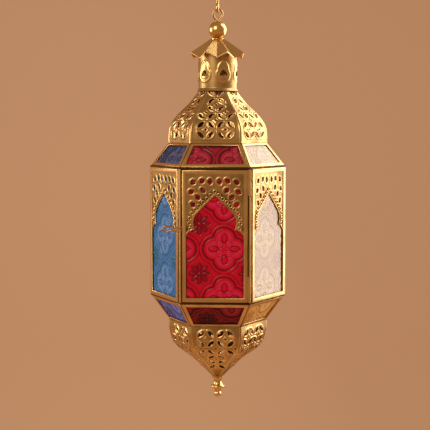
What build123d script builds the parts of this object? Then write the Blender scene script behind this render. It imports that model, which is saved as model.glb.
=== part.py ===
"""Six-sided hanging fanous lantern: brass frames, pierced brass domes and patterned glass panes.

Frame: +Z up, origin where the wire hook rests on whatever holds it, so the lantern hangs below zero.
The door side faces -Y, and +X is to the right of someone looking at the door. Lengths are millimetres.
"""

from build123d import *
import os
from math import atan2, cos, degrees, hypot, radians, sin, tan

# Counts and angles
SIDES = 6
SECTOR = 360 / SIDES
HALF_SECTOR = SECTOR / 2
SIDE_NAMES = ["front", "front_right", "back_right", "back", "back_left", "front_left"]
FRONT_AZIMUTH = -90
DOOR_SIDE = "front"
FROM_BELOW = (Align.CENTER, Align.CENTER, Align.MIN)
FROM_TOP = (Align.CENTER, Align.CENTER, Align.MAX)

# Clearances shared by the whole lantern
CUT = 1.0              # overrun of every cutting tool
SEAM = 0.1             # soldered seam between neighbouring sectors
PANE_PLAY = 0.15       # room round a pane or a fret in its groove
RUNNING = 0.05         # radial clearance of a turning fit
LINK_PLAY = 0.3        # room between two linked wires

# Wire hook, loop and ball
HOOK_WIRE_RADIUS = 1.2
CROOK_RADIUS = 7.0     # centreline of the hook's open bend
CROOK_TIP = 4.0        # straight end of the hook past the bend
CROOK_BACK = 3.0       # straight run behind the bend, before the jog
JOG_ANGLE = 60         # the jog brings the shank back under the seat
SHANK_LENGTH = 15.0
EYE_RADIUS = 3.6       # centreline of the closed eye
LOOP_WIRE_RADIUS = 0.9
LOOP_HALF_SPAN = 7.4   # corner of the loop's outline before it is rounded
LOOP_RISE = 10.2       # crown of the loop above the ball
LOOP_CROWN_SHARE = 0.98
LEG_SPACING = 2.0      # between the two legs of the loop
LEG_BEND = 1.6
TAIL_REACH = 5.2       # the spread ends of the legs, from the axis
TAIL_BEND = 1.4
BALL_RADIUS = 7.9
BALL_SINK = 0.5        # depth of the flat that seats the ball
STEM_BORE_RADIUS = 2.2

# Pleated cap and neck
PLEATS = 8
CAP_TOP_RADIUS = 5.7
RIDGE_RADIUS = 24.8
RIDGE_DROP = 12.5      # from the cap's flat top to the tips of the ridges
VALLEY_RADIUS = 21.2
VALLEY_DROP = 17.3
CAP_SHEET = 0.9        # measured straight down
CAP_DISC = 1.0
FERRULE_RADIUS = 3.4
FERRULE_LENGTH = 3.6
NECK_RADIUS = 17.0
NECK_WALL = 0.8
NECK_HEIGHT = 32.0
NECK_FOOT_FLARE = 1.3
NECK_FOOT_HEIGHT = 2.4
NECK_LIP = 3.6         # inward flange that covers the dome's top
NECK_GAP = 0.1
VENT_WIDTH = 7.0
VENT_HEIGHT = 5.4
VENT_DROP = 16.4       # vent's middle below the neck's top
VENT_TURN = 20         # vents don't line up with the sides

# Domes: radii are to the corners
DOME_SHEET = 0.8
COLLAR_STEP = 15.2     # domes are smaller than the circle of posts by this
DOME_TUCK = 0.2        # the dome's top is smaller than the neck by this
DOME_HEIGHT = 45.4
DOME_PROFILE_SHARES = [(0.0, 1.0), (0.33, 0.755), (0.62, 0.59), (0.855, 0.425), (0.97, 0.28), (1.0, 0.12)]
BOWL_HEIGHT = 51.4
BOWL_TIP_RADIUS = 5.4
BOWL_PROFILE_SHARES = [(0.0, 1.0), (0.185, 0.86), (0.46, 0.675), (0.765, 0.508), (0.91, 0.388), (0.995, 0.18)]

# Pierced leaves of both domes, in rows counted down from the wide or narrow end
LEAF_PITCH = 8.5       # across
LEAF_LENGTH = 6.4
LEAF_WIDTH = 2.7
LEAF_MARGIN = 3.4      # least distance of a leaf's middle from the edge of its panel
SPARK_WIDTH = 1.7      # small diamond inside a ring of leaves
LEAF_COLUMNS = [-1.5, -0.5, 0.5, 1.5]
SPARK_COLUMNS = [-1, 0, 1]
DOME_ROW_SHARES = [0.95, 0.83, 0.69, 0.525, 0.34, 0.15]
BOWL_ROW_SHARES = [0.10, 0.26, 0.435, 0.59, 0.75]

# Glazed collars above and below the body
COLLAR_SHEET = 2.4
COLLAR_LIP = 0.6       # brass in front of the glass
COLLAR_SIDE = 3.6      # visible width of the slanting bars
COLLAR_NARROW_RAIL = 2.4
COLLAR_WIDE_RAIL = 3.6
COLLAR_LAND = 1.2      # the glass reaches this far behind the bars
UPPER_COLLAR_HEIGHT = 20.4
LOWER_COLLAR_HEIGHT = 21.9
COLLAR_EDGE = 0.8      # corners of the wide end past the post axes

# Body: posts, rings, side panels and door
POST_CIRCLE = 59.2     # post axes from the lantern's axis
POST_RADIUS = 1.25
BODY_HEIGHT = 114.4    # between the two rings
RING_SHEET = 1.2
RING_EDGE = 1.2        # corners of the rings past the post axes
RING_WIDTH = 10.4
PANEL_DEPTH = 4.0
PANEL_GAP = 0.15       # between a side panel and its post
STILE = 3.2
RAIL = 3.6
FRONT_FLANGE = 0.6
BACK_FLANGE = 0.5
FRET_SHEET = 0.4
GROOVE = 1.9           # how far the groove goes into the stiles and rails

# Pointed arch and piercings of the fret
FRET_HEIGHT = 53.6     # from the window's top to the foot of the arch
ARCH_APEX_SHARE = 0.34     # drops of the arch as shares of the fret's height
SHOULDER_DROP_SHARE = 0.604
WAIST_DROP_SHARE = 0.744
CUSP_DROP_SHARE = 0.882
SHOULDER_SHARE = 0.584     # half widths of the arch as shares of the window's half width
WAIST_SHARE = 0.738
CUSP_SHARE = 0.673
DIAMOND_LENGTH = 6.0
DIAMOND_WIDTH = 4.6
# Across as shares of the window's half width, down as shares of the fret's height, and each diamond's turn
DIAMOND_PLACE_SHARES = [
    (0.165, 0.118, 5),
    (0.44, 0.108, 50),
    (0.75, 0.128, 52),
    (0.81, 0.28, 58),
    (0.41, 0.256, -45),
    (0.59, 0.365, -38),
    (0.755, 0.48, -48),
]

# Door, its hinge and its wire pull
DOOR_LATCH_GAP = 0.45
DOOR_HINGE_GAP = 0.55
DOOR_END_GAP = 0.7
PIN_RADIUS = 0.7
KNUCKLE_LENGTH = 22.0
KNUCKLE_GAP = 0.3
KNUCKLE_WEB = 2.0
PULL_WIRE_RADIUS = 0.8
PULL_LENGTH = 16.4
PULL_BULB_RADIUS = 2.2
PULL_LEG_SPACING = 2.4
PULL_BEND = 3.0
PULL_TAPER = 5.0
PULL_DROP = 50.2       # below the top of the door
PULL_CLEARANCE = 0.15  # in front of the post

# Floor, candle cup and finial
FLOOR_SHEET = 0.8
FLOOR_PLAY = 0.4
FLOOR_HOLE_RADIUS = 6.0
FLOOR_HOLE_CIRCLE = 34.0
CUP_BORE_RADIUS = 20.0
CUP_WALL = 0.6
CUP_DEPTH = 8.0
FINIAL_NECK_RADIUS = 3.4
FINIAL_SHOULDER = 0.9
FINIAL_RING_RADIUS = 6.1
FINIAL_RING_HEIGHT = 2.4
FINIAL_RING_DROP = 8.5
FINIAL_WAIST_RADIUS = 2.5
FINIAL_WAIST_HEIGHT = 3.9
FINIAL_BALL_RADIUS = 3.2
FINIAL_ROOT = 4.0      # stem inside the bowl

# Levels, from the hook's seat down
CROOK_Z = HOOK_WIRE_RADIUS - CROOK_RADIUS
JOG_RADIUS = CROOK_RADIUS / (2 * (1 - cos(radians(JOG_ANGLE))))
SHANK_Z = CROOK_Z - CROOK_BACK - 2 * JOG_RADIUS * sin(radians(JOG_ANGLE))
EYE_Z = SHANK_Z - SHANK_LENGTH - EYE_RADIUS
CROWN_Z = EYE_Z - EYE_RADIUS + HOOK_WIRE_RADIUS + LINK_PLAY + LOOP_WIRE_RADIUS
BALL_TOP_Z = CROWN_Z - LOOP_RISE
BALL_Z = BALL_TOP_Z - BALL_RADIUS
CAP_Z = BALL_Z - BALL_RADIUS + BALL_SINK
APEX_RISE = CAP_TOP_RADIUS * RIDGE_DROP / (RIDGE_RADIUS - CAP_TOP_RADIUS)
APEX_Z = CAP_Z + APEX_RISE
TAIL_Z = CAP_Z - CAP_DISC - FERRULE_LENGTH - LINK_PLAY - LOOP_WIRE_RADIUS
VALLEY_SLOPE = (VALLEY_DROP + APEX_RISE) / VALLEY_RADIUS
NECK_TOP_Z = APEX_Z - VALLEY_SLOPE * NECK_RADIUS - CAP_SHEET - NECK_GAP
DOME_TOP_Z = NECK_TOP_Z - NECK_HEIGHT
COLLAR_TOP_Z = DOME_TOP_Z - DOME_HEIGHT
UPPER_RING_Z = COLLAR_TOP_Z - UPPER_COLLAR_HEIGHT
BODY_TOP_Z = UPPER_RING_Z - RING_SHEET
BODY_BOTTOM_Z = BODY_TOP_Z - BODY_HEIGHT
LOWER_COLLAR_Z = BODY_BOTTOM_Z - RING_SHEET
BOWL_TOP_Z = LOWER_COLLAR_Z - LOWER_COLLAR_HEIGHT
BOWL_TIP_Z = BOWL_TOP_Z - BOWL_HEIGHT

# Sizes that follow from the ones above
FLAT = cos(radians(HALF_SECTOR))          # apothem over corner radius of the six-sided outline
COLLAR_RADIUS = POST_CIRCLE + COLLAR_EDGE
RING_RADIUS = POST_CIRCLE + RING_EDGE
RING_INNER_RADIUS = RING_RADIUS - RING_WIDTH
DOME_RADIUS = POST_CIRCLE - COLLAR_STEP
DOME_TOP_RADIUS = NECK_RADIUS - DOME_TUCK
PANEL_PLANE = POST_CIRCLE * FLAT          # middle of the panels from the axis
SIDE_LENGTH = 2 * POST_CIRCLE * sin(radians(HALF_SECTOR))
POST_KEEP = POST_RADIUS + PANEL_GAP
PANEL_WIDTH = SIDE_LENGTH - 2 * POST_KEEP
DOOR_LATCH_EDGE = -SIDE_LENGTH / 2 + POST_RADIUS + DOOR_LATCH_GAP
DOOR_HINGE_EDGE = SIDE_LENGTH / 2 - POST_RADIUS - DOOR_HINGE_GAP
DOOR_WIDTH = DOOR_HINGE_EDGE - DOOR_LATCH_EDGE
DOOR_MIDDLE = (DOOR_HINGE_EDGE + DOOR_LATCH_EDGE) / 2
DOOR_HEIGHT = BODY_HEIGHT - 2 * DOOR_END_GAP
GLASS_DEPTH = PANEL_DEPTH - FRONT_FLANGE - BACK_FLANGE - FRET_SHEET - PANE_PLAY


def azimuth(side):
    """Direction of a side's outward normal."""
    return FRONT_AZIMUTH + SECTOR * SIDE_NAMES.index(side)


def on_side(shape, side):
    """Turns a shape made with +X outward to one of the six sides."""
    return Rot(0, 0, azimuth(side)) * shape


def hexagon(radius):
    """Hexagon with a corner on the X axis, so that its flats face the six sides."""
    return RegularPolygon(radius, SIDES)


def sector_wedge(reach, low, high):
    """The share of space that one side may fill, less half a seam at each neighbour."""
    half = reach * tan(radians(HALF_SECTOR))
    start = SEAM / 2 / sin(radians(HALF_SECTOR))
    outline = Polygon((0, 0), (reach, -half), (reach, half), align=None)
    return Pos(start, 0, low) * extrude(outline, high - low)


def wire(path, radius):
    """Round wire along a path, starting square to it."""
    return sweep(Plane(path @ 0, z_dir=path % 0) * Circle(radius), path=path)


# Hook, loop and ball
def hanging_hook():
    """One wire in the YZ plane: open crook, jog back under the seat, straight shank and closed eye."""
    crook_side = (0, -CROOK_RADIUS, CROOK_Z)
    tip = Line((0, -CROOK_RADIUS, CROOK_Z - CROOK_TIP), crook_side)
    bend = ThreePointArc(crook_side, (0, 0, HOOK_WIRE_RADIUS), (0, CROOK_RADIUS, CROOK_Z))
    back = Line((0, CROOK_RADIUS, CROOK_Z), (0, CROOK_RADIUS, CROOK_Z - CROOK_BACK))
    swing = JOG_RADIUS * (1 - cos(radians(JOG_ANGLE / 2)))
    drop = JOG_RADIUS * sin(radians(JOG_ANGLE / 2))
    jog_z = CROOK_Z - CROOK_BACK
    middle_z = (jog_z + SHANK_Z) / 2
    outer_bend = (0, CROOK_RADIUS - swing, jog_z - drop)
    jog_out = ThreePointArc(back @ 1, outer_bend, (0, CROOK_RADIUS / 2, middle_z))
    jog_in = ThreePointArc(jog_out @ 1, (0, swing, SHANK_Z + drop), (0, 0, SHANK_Z))
    shank = Line(jog_in @ 1, (0, 0, SHANK_Z - SHANK_LENGTH))
    path = Wire([tip, bend, back, jog_out, jog_in, shank])
    eye = Pos(0, 0, EYE_Z) * Rot(0, 90, 0) * Torus(EYE_RADIUS, HOOK_WIRE_RADIUS)
    return wire(path, HOOK_WIRE_RADIUS) + eye


def hanging_loop():
    """Hairpin loop: rounded crown, two legs through the ball, and ends spread under the cap's ferrule."""
    leg = LEG_SPACING / 2
    turn = 180 - degrees(atan2(LOOP_RISE, LOOP_HALF_SPAN - leg))
    crown_radius = LOOP_CROWN_SHARE * LOOP_HALF_SPAN / tan(radians(turn / 2))
    right = [(LOOP_HALF_SPAN, CROWN_Z), (leg, BALL_TOP_Z), (leg, TAIL_Z), (TAIL_REACH, TAIL_Z)]
    left = [(-x, z) for x, z in reversed(right)]
    radii = [TAIL_BEND, LEG_BEND, crown_radius, crown_radius, LEG_BEND, TAIL_BEND]
    path = FilletPolyline(*[(x, 0, z) for x, z in left + right], radius=radii)
    return wire(path, LOOP_WIRE_RADIUS)


def ball():
    """Turned ball, bored for the loop's legs and flat where it sits on the cap."""
    bore = Pos(0, 0, BALL_Z) * Cylinder(STEM_BORE_RADIUS, 2 * (BALL_RADIUS + CUT))
    below = Pos(0, 0, CAP_Z) * Cylinder(BALL_RADIUS, BALL_RADIUS, align=FROM_TOP)
    return Pos(0, 0, BALL_Z) * Sphere(BALL_RADIUS) - below - bore


# Cap and neck
def pleated_cap():
    """Sheet folded into ridges and valleys that would meet in one point, with a disc and a ferrule on top."""
    step = 180 / PLEATS
    rim = []
    for k in range(2 * PLEATS):
        radius, drop = (VALLEY_RADIUS, VALLEY_DROP) if k % 2 == 0 else (RIDGE_RADIUS, RIDGE_DROP)
        angle = radians(FRONT_AZIMUTH + k * step)
        rim.append(Vector(radius * cos(angle), radius * sin(angle), CAP_Z - drop))
    apex = Vector(0, 0, APEX_Z)
    folds = [make_face(Polyline(apex, rim[k - 1], rim[k], close=True)) for k in range(2 * PLEATS)]
    sheet = Part() + [extrude(fold, CAP_SHEET, dir=(0, 0, -1)) for fold in folds]
    above = Pos(0, 0, CAP_Z) * Cylinder(RIDGE_RADIUS, APEX_RISE + CUT, align=FROM_BELOW)
    disc = Pos(0, 0, CAP_Z) * Cylinder(CAP_TOP_RADIUS, CAP_DISC, align=FROM_TOP)
    ferrule = Pos(0, 0, CAP_Z) * Cylinder(FERRULE_RADIUS, CAP_DISC + FERRULE_LENGTH, align=FROM_TOP)
    bore = Pos(0, 0, CAP_Z) * Cylinder(STEM_BORE_RADIUS, 2 * (CAP_DISC + FERRULE_LENGTH + CUT))
    return sheet - above + disc + ferrule - bore


def vent_outline():
    """Spade-shaped vent, wide at its foot."""
    half, foot, tip = VENT_WIDTH / 2, -VENT_HEIGHT / 2, VENT_HEIGHT / 2
    base = Line((-half, foot), (half, foot))
    right = TangentArc((half, foot), (0, tip), tangent=(0, 1))
    left = TangentArc((-half, foot), (0, tip), tangent=(0, 1))
    return make_face(Wire([base, right, left]))


def neck():
    """Tube with six vents, a flared foot with an inward lip, open at the top under the cap."""
    inner = NECK_RADIUS - NECK_WALL
    tube = Pos(0, 0, DOME_TOP_Z) * extrude(Circle(NECK_RADIUS) - Circle(inner), NECK_HEIGHT)
    lip = Pos(0, 0, DOME_TOP_Z) * extrude(Circle(NECK_RADIUS) - Circle(inner - NECK_LIP), NECK_WALL)
    foot = Cone(NECK_RADIUS + NECK_FOOT_FLARE, NECK_RADIUS, NECK_FOOT_HEIGHT, align=FROM_BELOW)
    foot = Pos(0, 0, DOME_TOP_Z) * (foot - Cylinder(inner, NECK_FOOT_HEIGHT, align=FROM_BELOW))
    shape = tube + lip + foot
    vent = extrude(Plane.YZ * vent_outline(), NECK_RADIUS + CUT)
    for k in range(SIDES):
        shape -= Pos(0, 0, NECK_TOP_Z - VENT_DROP) * Rot(0, 0, FRONT_AZIMUTH + VENT_TURN + k * SECTOR) * vent
    return shape


# Domes
def profile_points(shares, wide, narrow, wide_z, narrow_z):
    """Corner radius and level of each point of a dome's outline, from its narrow end to its wide end."""
    points = [(narrow + r * (wide - narrow), wide_z + h * (narrow_z - wide_z)) for r, h in shares]
    return points + [(wide, wide_z)]


def leaf_outline():
    """Pointed leaf on a slant."""
    half = LEAF_LENGTH / 2
    upper = ThreePointArc((-half, 0), (0, LEAF_WIDTH / 2), (half, 0))
    lower = ThreePointArc((half, 0), (0, -LEAF_WIDTH / 2), (-half, 0))
    return Rot(0, 0, 45) * make_face(Wire([upper, lower]))


def width_at(points, z):
    """Half width of a dome panel at a level, by straight runs between its outline's points."""
    for (r0, z0), (r1, z1) in zip(points, points[1:]):
        if min(z0, z1) <= z <= max(z0, z1):
            return (r0 + (r1 - r0) * (z - z0) / (z1 - z0)) * sin(radians(HALF_SECTOR))
    return 0


def piercings(points, rows, wide_z, narrow_z):
    """Leaves in alternating slants, row by row, with a small diamond inside each ring of four leaves."""
    levels = [wide_z + share * (narrow_z - wide_z) for share in rows]
    reach = DOME_RADIUS + CUT
    leaf = extrude(Plane.YZ * leaf_outline(), reach)
    mirrored = mirror(leaf, Plane.XZ)
    side = SPARK_WIDTH / 2
    spark = extrude(Plane.YZ * Polygon((-side, 0), (0, -side), (side, 0), (0, side)), reach)
    tools = []
    for row, z in enumerate(levels):
        room = width_at(points, z) - LEAF_MARGIN
        for n, column in enumerate(LEAF_COLUMNS):
            across = column * LEAF_PITCH
            if abs(across) <= room:
                tools.append(Pos(0, across, z) * (leaf if (row + n) % 2 == 0 else mirrored))
    for row, (upper, lower) in enumerate(zip(levels, levels[1:])):
        z = (upper + lower) / 2
        room = width_at(points, z) - LEAF_MARGIN
        for n, column in enumerate(SPARK_COLUMNS):
            if (row + n) % 2 == 0 and abs(column * LEAF_PITCH) <= room:
                tools.append(Pos(0, column * LEAF_PITCH, z) * spark)
    return tools


def dome_panel(points, rows, wide_z, narrow_z):
    """One pierced panel, curved from top to bottom and straight across."""
    outer = [(radius * FLAT, 0, z) for radius, z in points]
    inner = [(x - DOME_SHEET, y, z) for x, y, z in outer]
    edge = make_face(Wire([
        Spline(*outer),
        Line(outer[-1], inner[-1]),
        Spline(*reversed(inner)),
        Line(inner[0], outer[0]),
    ]))
    half = DOME_RADIUS * sin(radians(HALF_SECTOR))
    sheet = extrude(edge, half, both=True)
    low, high = min(wide_z, narrow_z), max(wide_z, narrow_z)
    return sheet & sector_wedge(DOME_RADIUS, low, high) - piercings(points, rows, wide_z, narrow_z)


# Collars
def collar_plane(wide_z, narrow_z):
    """Plane of a collar panel's outer face: origin at the wide edge, y to the narrow edge, z outward."""
    run = (DOME_RADIUS - COLLAR_RADIUS) * FLAT
    up = Vector(run, 0, narrow_z - wide_z).normalized()
    across = Vector(0, 1, 0) if narrow_z > wide_z else Vector(0, -1, 0)
    return Plane(origin=(COLLAR_RADIUS * FLAT, 0, wide_z), x_dir=across, z_dir=across.cross(up))


def collar_outline(height, inset_side, inset_wide, inset_narrow):
    """Trapezium of a collar panel, drawn in by its bars."""
    slant = hypot((COLLAR_RADIUS - DOME_RADIUS) * FLAT, height)
    half_wide = COLLAR_RADIUS * sin(radians(HALF_SECTOR))
    half_narrow = DOME_RADIUS * sin(radians(HALF_SECTOR))
    lean = (half_wide - half_narrow) / slant
    side = inset_side * hypot(1, lean)
    low, high = inset_wide, slant - inset_narrow
    a, b = half_wide - lean * low - side, half_wide - lean * high - side
    return Polygon((-a, low), (a, low), (b, high), (-b, high), align=None)


def collar_frame(height, wide_z, narrow_z):
    """Brass bars round one collar pane, with a rebate for the glass behind their lip."""
    plane = collar_plane(wide_z, narrow_z)
    level = abs(narrow_z - wide_z)
    inward = COLLAR_SHEET * hypot((COLLAR_RADIUS - DOME_RADIUS) * FLAT, level) / level
    outer = [(COLLAR_RADIUS * FLAT, 0, wide_z), (DOME_RADIUS * FLAT, 0, narrow_z)]
    inner = [(x - inward, y, z) for x, y, z in reversed(outer)]
    slab = extrude(make_face(Polyline(*outer, *inner, close=True)), COLLAR_RADIUS, both=True)
    plate = slab & sector_wedge(COLLAR_RADIUS, min(wide_z, narrow_z), max(wide_z, narrow_z))
    window = collar_outline(height, COLLAR_SIDE, COLLAR_WIDE_RAIL, COLLAR_NARROW_RAIL)
    land = COLLAR_LAND + PANE_PLAY
    rebate = collar_outline(height, COLLAR_SIDE - land, COLLAR_WIDE_RAIL - land, COLLAR_NARROW_RAIL - land)
    opening = plane * extrude(window, COLLAR_SHEET + CUT, both=True)
    pocket = plane * (Pos(0, 0, -COLLAR_LIP) * extrude(rebate, -COLLAR_SHEET))
    return plate - opening - pocket


def collar_glass(height, wide_z, narrow_z):
    """Pane that lies in the rebate of a collar panel, against its lip."""
    outline = collar_outline(
        height, COLLAR_SIDE - COLLAR_LAND, COLLAR_WIDE_RAIL - COLLAR_LAND, COLLAR_NARROW_RAIL - COLLAR_LAND
    )
    depth = COLLAR_SHEET - COLLAR_LIP - PANE_PLAY
    return collar_plane(wide_z, narrow_z) * (Pos(0, 0, -COLLAR_LIP) * extrude(outline, -depth))


# Body
def ring(low):
    """Flat hexagonal ring that carries the posts and panels."""
    return Pos(0, 0, low) * extrude(hexagon(RING_RADIUS) - hexagon(RING_INNER_RADIUS), RING_SHEET)


def post_place(corner):
    """Axis of the post after a side, counted anticlockwise from the front."""
    angle = radians(FRONT_AZIMUTH + HALF_SECTOR + corner * SECTOR)
    return POST_CIRCLE * cos(angle), POST_CIRCLE * sin(angle)


def corner_posts():
    """Round posts at every corner but the hinge's."""
    places = [post_place(corner) for corner in range(1, SIDES)]
    rod = Cylinder(POST_RADIUS, BODY_HEIGHT, align=FROM_BELOW)
    return [Pos(x, y, BODY_BOTTOM_Z) * rod for x, y in places]


def block(middle, width, depth_low, depth_high, low, high):
    """Box on a panel's plane: across about middle, depth counted outward from the panel's middle."""
    centre = (PANEL_PLANE + (depth_low + depth_high) / 2, middle, (low + high) / 2)
    return Pos(*centre) * Box(depth_high - depth_low, width, high - low)


def panel_frame(middle, width, low, high):
    """Folded channel round a pane: a front flange, a groove and a back flange."""
    front, back = PANEL_DEPTH / 2, -PANEL_DEPTH / 2
    plate = block(middle, width, back, front, low, high)
    window = block(middle, width - 2 * STILE, back - CUT, front + CUT, low + RAIL, high - RAIL)
    groove = block(
        middle, width - 2 * (STILE - GROOVE), back + BACK_FLANGE, front - FRONT_FLANGE,
        low + RAIL - GROOVE, high - RAIL + GROOVE,
    )
    return plate - window - groove


def panel_glass(middle, width, low, high):
    """Pane in the groove, behind the fret."""
    inset = GROOVE - PANE_PLAY
    face = PANEL_DEPTH / 2 - FRONT_FLANGE - FRET_SHEET
    return block(
        middle, width - 2 * (STILE - inset), face - GLASS_DEPTH, face, low + RAIL - inset, high - RAIL + inset
    )


def arch_outline(half_window):
    """The pointed, waisted arch below the fret, left open downward past the fret's lower edge."""
    shoulder = (SHOULDER_SHARE * half_window, -SHOULDER_DROP_SHARE * FRET_HEIGHT)
    widest = (WAIST_SHARE * half_window, -WAIST_DROP_SHARE * FRET_HEIGHT)
    cusp = (CUSP_SHARE * half_window, -CUSP_DROP_SHARE * FRET_HEIGHT)
    foot, low = -FRET_HEIGHT, -FRET_HEIGHT - CUT
    straight = Line((0, -ARCH_APEX_SHARE * FRET_HEIGHT), shoulder)
    waist = ThreePointArc(shoulder, widest, cusp)
    flare = TangentArc((half_window, foot), cusp, tangent=(0, 1))
    half = Wire([straight, waist, flare])
    other = mirror(half, Plane.YZ)
    closing = Polyline((half_window, foot), (half_window, low), (-half_window, low), (-half_window, foot))
    return make_face(Wire([*half.edges(), *other.edges(), *closing.edges()]))


def panel_fret(middle, width, high):
    """Thin pierced sheet in front of the glass: rows of diamonds above a pointed arch."""
    inset = GROOVE - PANE_PLAY
    half_window = width / 2 - STILE
    top = RAIL - inset
    face = PANEL_DEPTH / 2 - FRONT_FLANGE
    sheet_width = width - 2 * (STILE - inset)
    sheet = block(middle, sheet_width, face - FRET_SHEET, face, high - RAIL - FRET_HEIGHT, high - top)
    at_window = Plane(origin=(PANEL_PLANE, middle, high - RAIL), x_dir=(0, 1, 0), z_dir=(1, 0, 0))
    cutters = [at_window * extrude(arch_outline(half_window), PANEL_DEPTH)]
    half_length, half_width = DIAMOND_LENGTH / 2, DIAMOND_WIDTH / 2
    corners = [(-half_width, 0), (0, -half_length), (half_width, 0), (0, half_length)]
    diamond = extrude(Polygon(*corners), PANEL_DEPTH)
    for across, down, turn in DIAMOND_PLACE_SHARES:
        for sign in (-1, 1):
            place = Pos(sign * across * half_window, -down * FRET_HEIGHT, 0) * Rot(0, 0, sign * turn)
            cutters.append(at_window * (place * diamond))
    return sheet - cutters


# Hinge and door pull
def hinge_place():
    """The hinge takes the corner between the front and the front right side."""
    return post_place(0)


def hinge_pin():
    x, y = hinge_place()
    return Pos(x, y, BODY_BOTTOM_Z + BODY_HEIGHT / 2) * Cylinder(PIN_RADIUS, BODY_HEIGHT)


def hinge_tube(low, high):
    """Tube that turns on the pin or carries it."""
    x, y = hinge_place()
    return Pos(x, y, low) * extrude(Circle(POST_RADIUS) - Circle(PIN_RADIUS + RUNNING), high - low)


def hinge_barrel():
    """Fixed middle length of the hinge, between the door's two knuckles."""
    keep = DOOR_END_GAP + KNUCKLE_LENGTH + KNUCKLE_GAP
    return hinge_tube(BODY_BOTTOM_Z + keep, BODY_TOP_Z - keep)


def door_knuckle(low):
    """Tube on the pin with a web that is soldered to the edge of the door."""
    web_length = SIDE_LENGTH / 2 - DOOR_HINGE_EDGE
    middle = DOOR_HINGE_EDGE + web_length / 2
    web = block(middle, web_length, -KNUCKLE_WEB / 2, KNUCKLE_WEB / 2, low, low + KNUCKLE_LENGTH)
    x, y = hinge_place()
    clear = Pos(x, y, low - CUT) * extrude(Circle(PIN_RADIUS + RUNNING), KNUCKLE_LENGTH + 2 * CUT)
    return hinge_tube(low, low + KNUCKLE_LENGTH) + on_side(web, DOOR_SIDE) - clear


def door_pull():
    """Hairpin of wire, soldered by its two ends to the free edge of the door."""
    depth = POST_RADIUS + PULL_CLEARANCE + PULL_WIRE_RADIUS
    tip = -PULL_LENGTH + PULL_BULB_RADIUS + PULL_WIRE_RADIUS
    leg = PULL_LEG_SPACING / 2
    corner = PULL_BULB_RADIUS * tan(radians(45 / 2))
    half = [(0, leg), (tip + PULL_TAPER, leg), (tip, PULL_BULB_RADIUS)]
    end = -PULL_LENGTH + PULL_WIRE_RADIUS
    upper = FilletPolyline(*half, (tip - corner, PULL_BULB_RADIUS), radius=PULL_BEND)
    bulb = ThreePointArc(upper @ 1, (end - corner, 0), ((upper @ 1).X, -PULL_BULB_RADIUS))
    lower = mirror(upper, Plane.XZ)
    path = Wire([*upper.edges(), bulb, *lower.edges()])
    x_out = PANEL_PLANE + depth
    z = BODY_TOP_Z - DOOR_END_GAP - PULL_DROP
    place = Plane(origin=(x_out, DOOR_LATCH_EDGE, z), x_dir=(0, 1, 0), z_dir=(1, 0, 0))
    return place * wire(path, PULL_WIRE_RADIUS)


# Inside and below
def floor_plate():
    """Loose hexagonal floor on the lower ring, with air holes."""
    flat_radius = (PANEL_PLANE - PANEL_DEPTH / 2 - FLOOR_PLAY) / FLAT
    holes = PolarLocations(FLOOR_HOLE_CIRCLE, SIDES) * Circle(FLOOR_HOLE_RADIUS)
    return Pos(0, 0, BODY_BOTTOM_Z) * extrude(hexagon(flat_radius) - holes, FLOOR_SHEET)


def candle_cup():
    """Shallow cup for a tea light, soldered to the floor."""
    base = BODY_BOTTOM_Z + FLOOR_SHEET
    outside = extrude(Circle(CUP_BORE_RADIUS + CUP_WALL), CUP_WALL + CUP_DEPTH)
    inside = Pos(0, 0, CUP_WALL) * extrude(Circle(CUP_BORE_RADIUS), CUP_DEPTH + CUT)
    return Pos(0, 0, base) * (outside - inside)


def finial():
    """Turned drop under the bowl: root, shoulder, neck, ring, waist and ball."""
    shoulder_z = BOWL_TIP_Z - FINIAL_SHOULDER
    ring_top = BOWL_TIP_Z - FINIAL_RING_DROP
    ring_middle, ring_low = ring_top - FINIAL_RING_HEIGHT / 2, ring_top - FINIAL_RING_HEIGHT
    waist_z = ring_low - FINIAL_WAIST_HEIGHT
    ball_z = waist_z - (FINIAL_BALL_RADIUS**2 - FINIAL_WAIST_RADIUS**2) ** 0.5
    end_z = ball_z - FINIAL_BALL_RADIUS
    outline = [
        Line((0, BOWL_TIP_Z + FINIAL_ROOT), (FINIAL_NECK_RADIUS, BOWL_TIP_Z + FINIAL_ROOT)),
        Line((FINIAL_NECK_RADIUS, BOWL_TIP_Z + FINIAL_ROOT), (FINIAL_NECK_RADIUS, BOWL_TIP_Z)),
        Line((FINIAL_NECK_RADIUS, BOWL_TIP_Z), (BOWL_TIP_RADIUS, BOWL_TIP_Z)),
        Line((BOWL_TIP_RADIUS, BOWL_TIP_Z), (BOWL_TIP_RADIUS, shoulder_z)),
        ThreePointArc(
            (BOWL_TIP_RADIUS, shoulder_z), (FINIAL_NECK_RADIUS, (shoulder_z + ring_top) / 2),
            (FINIAL_RING_RADIUS - FINIAL_RING_HEIGHT / 2, ring_top),
        ),
        ThreePointArc(
            (FINIAL_RING_RADIUS - FINIAL_RING_HEIGHT / 2, ring_top), (FINIAL_RING_RADIUS, ring_middle),
            (FINIAL_RING_RADIUS - FINIAL_RING_HEIGHT / 2, ring_low),
        ),
        Line((FINIAL_RING_RADIUS - FINIAL_RING_HEIGHT / 2, ring_low), (FINIAL_NECK_RADIUS, ring_low)),
        Line((FINIAL_NECK_RADIUS, ring_low), (FINIAL_WAIST_RADIUS, waist_z)),
        ThreePointArc((FINIAL_WAIST_RADIUS, waist_z), (FINIAL_BALL_RADIUS, ball_z), (0, end_z)),
        Line((0, end_z), (0, BOWL_TIP_Z + FINIAL_ROOT)),
    ]
    return revolve(Plane.XZ * make_face(Wire(outline)), Axis.Z)


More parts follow.
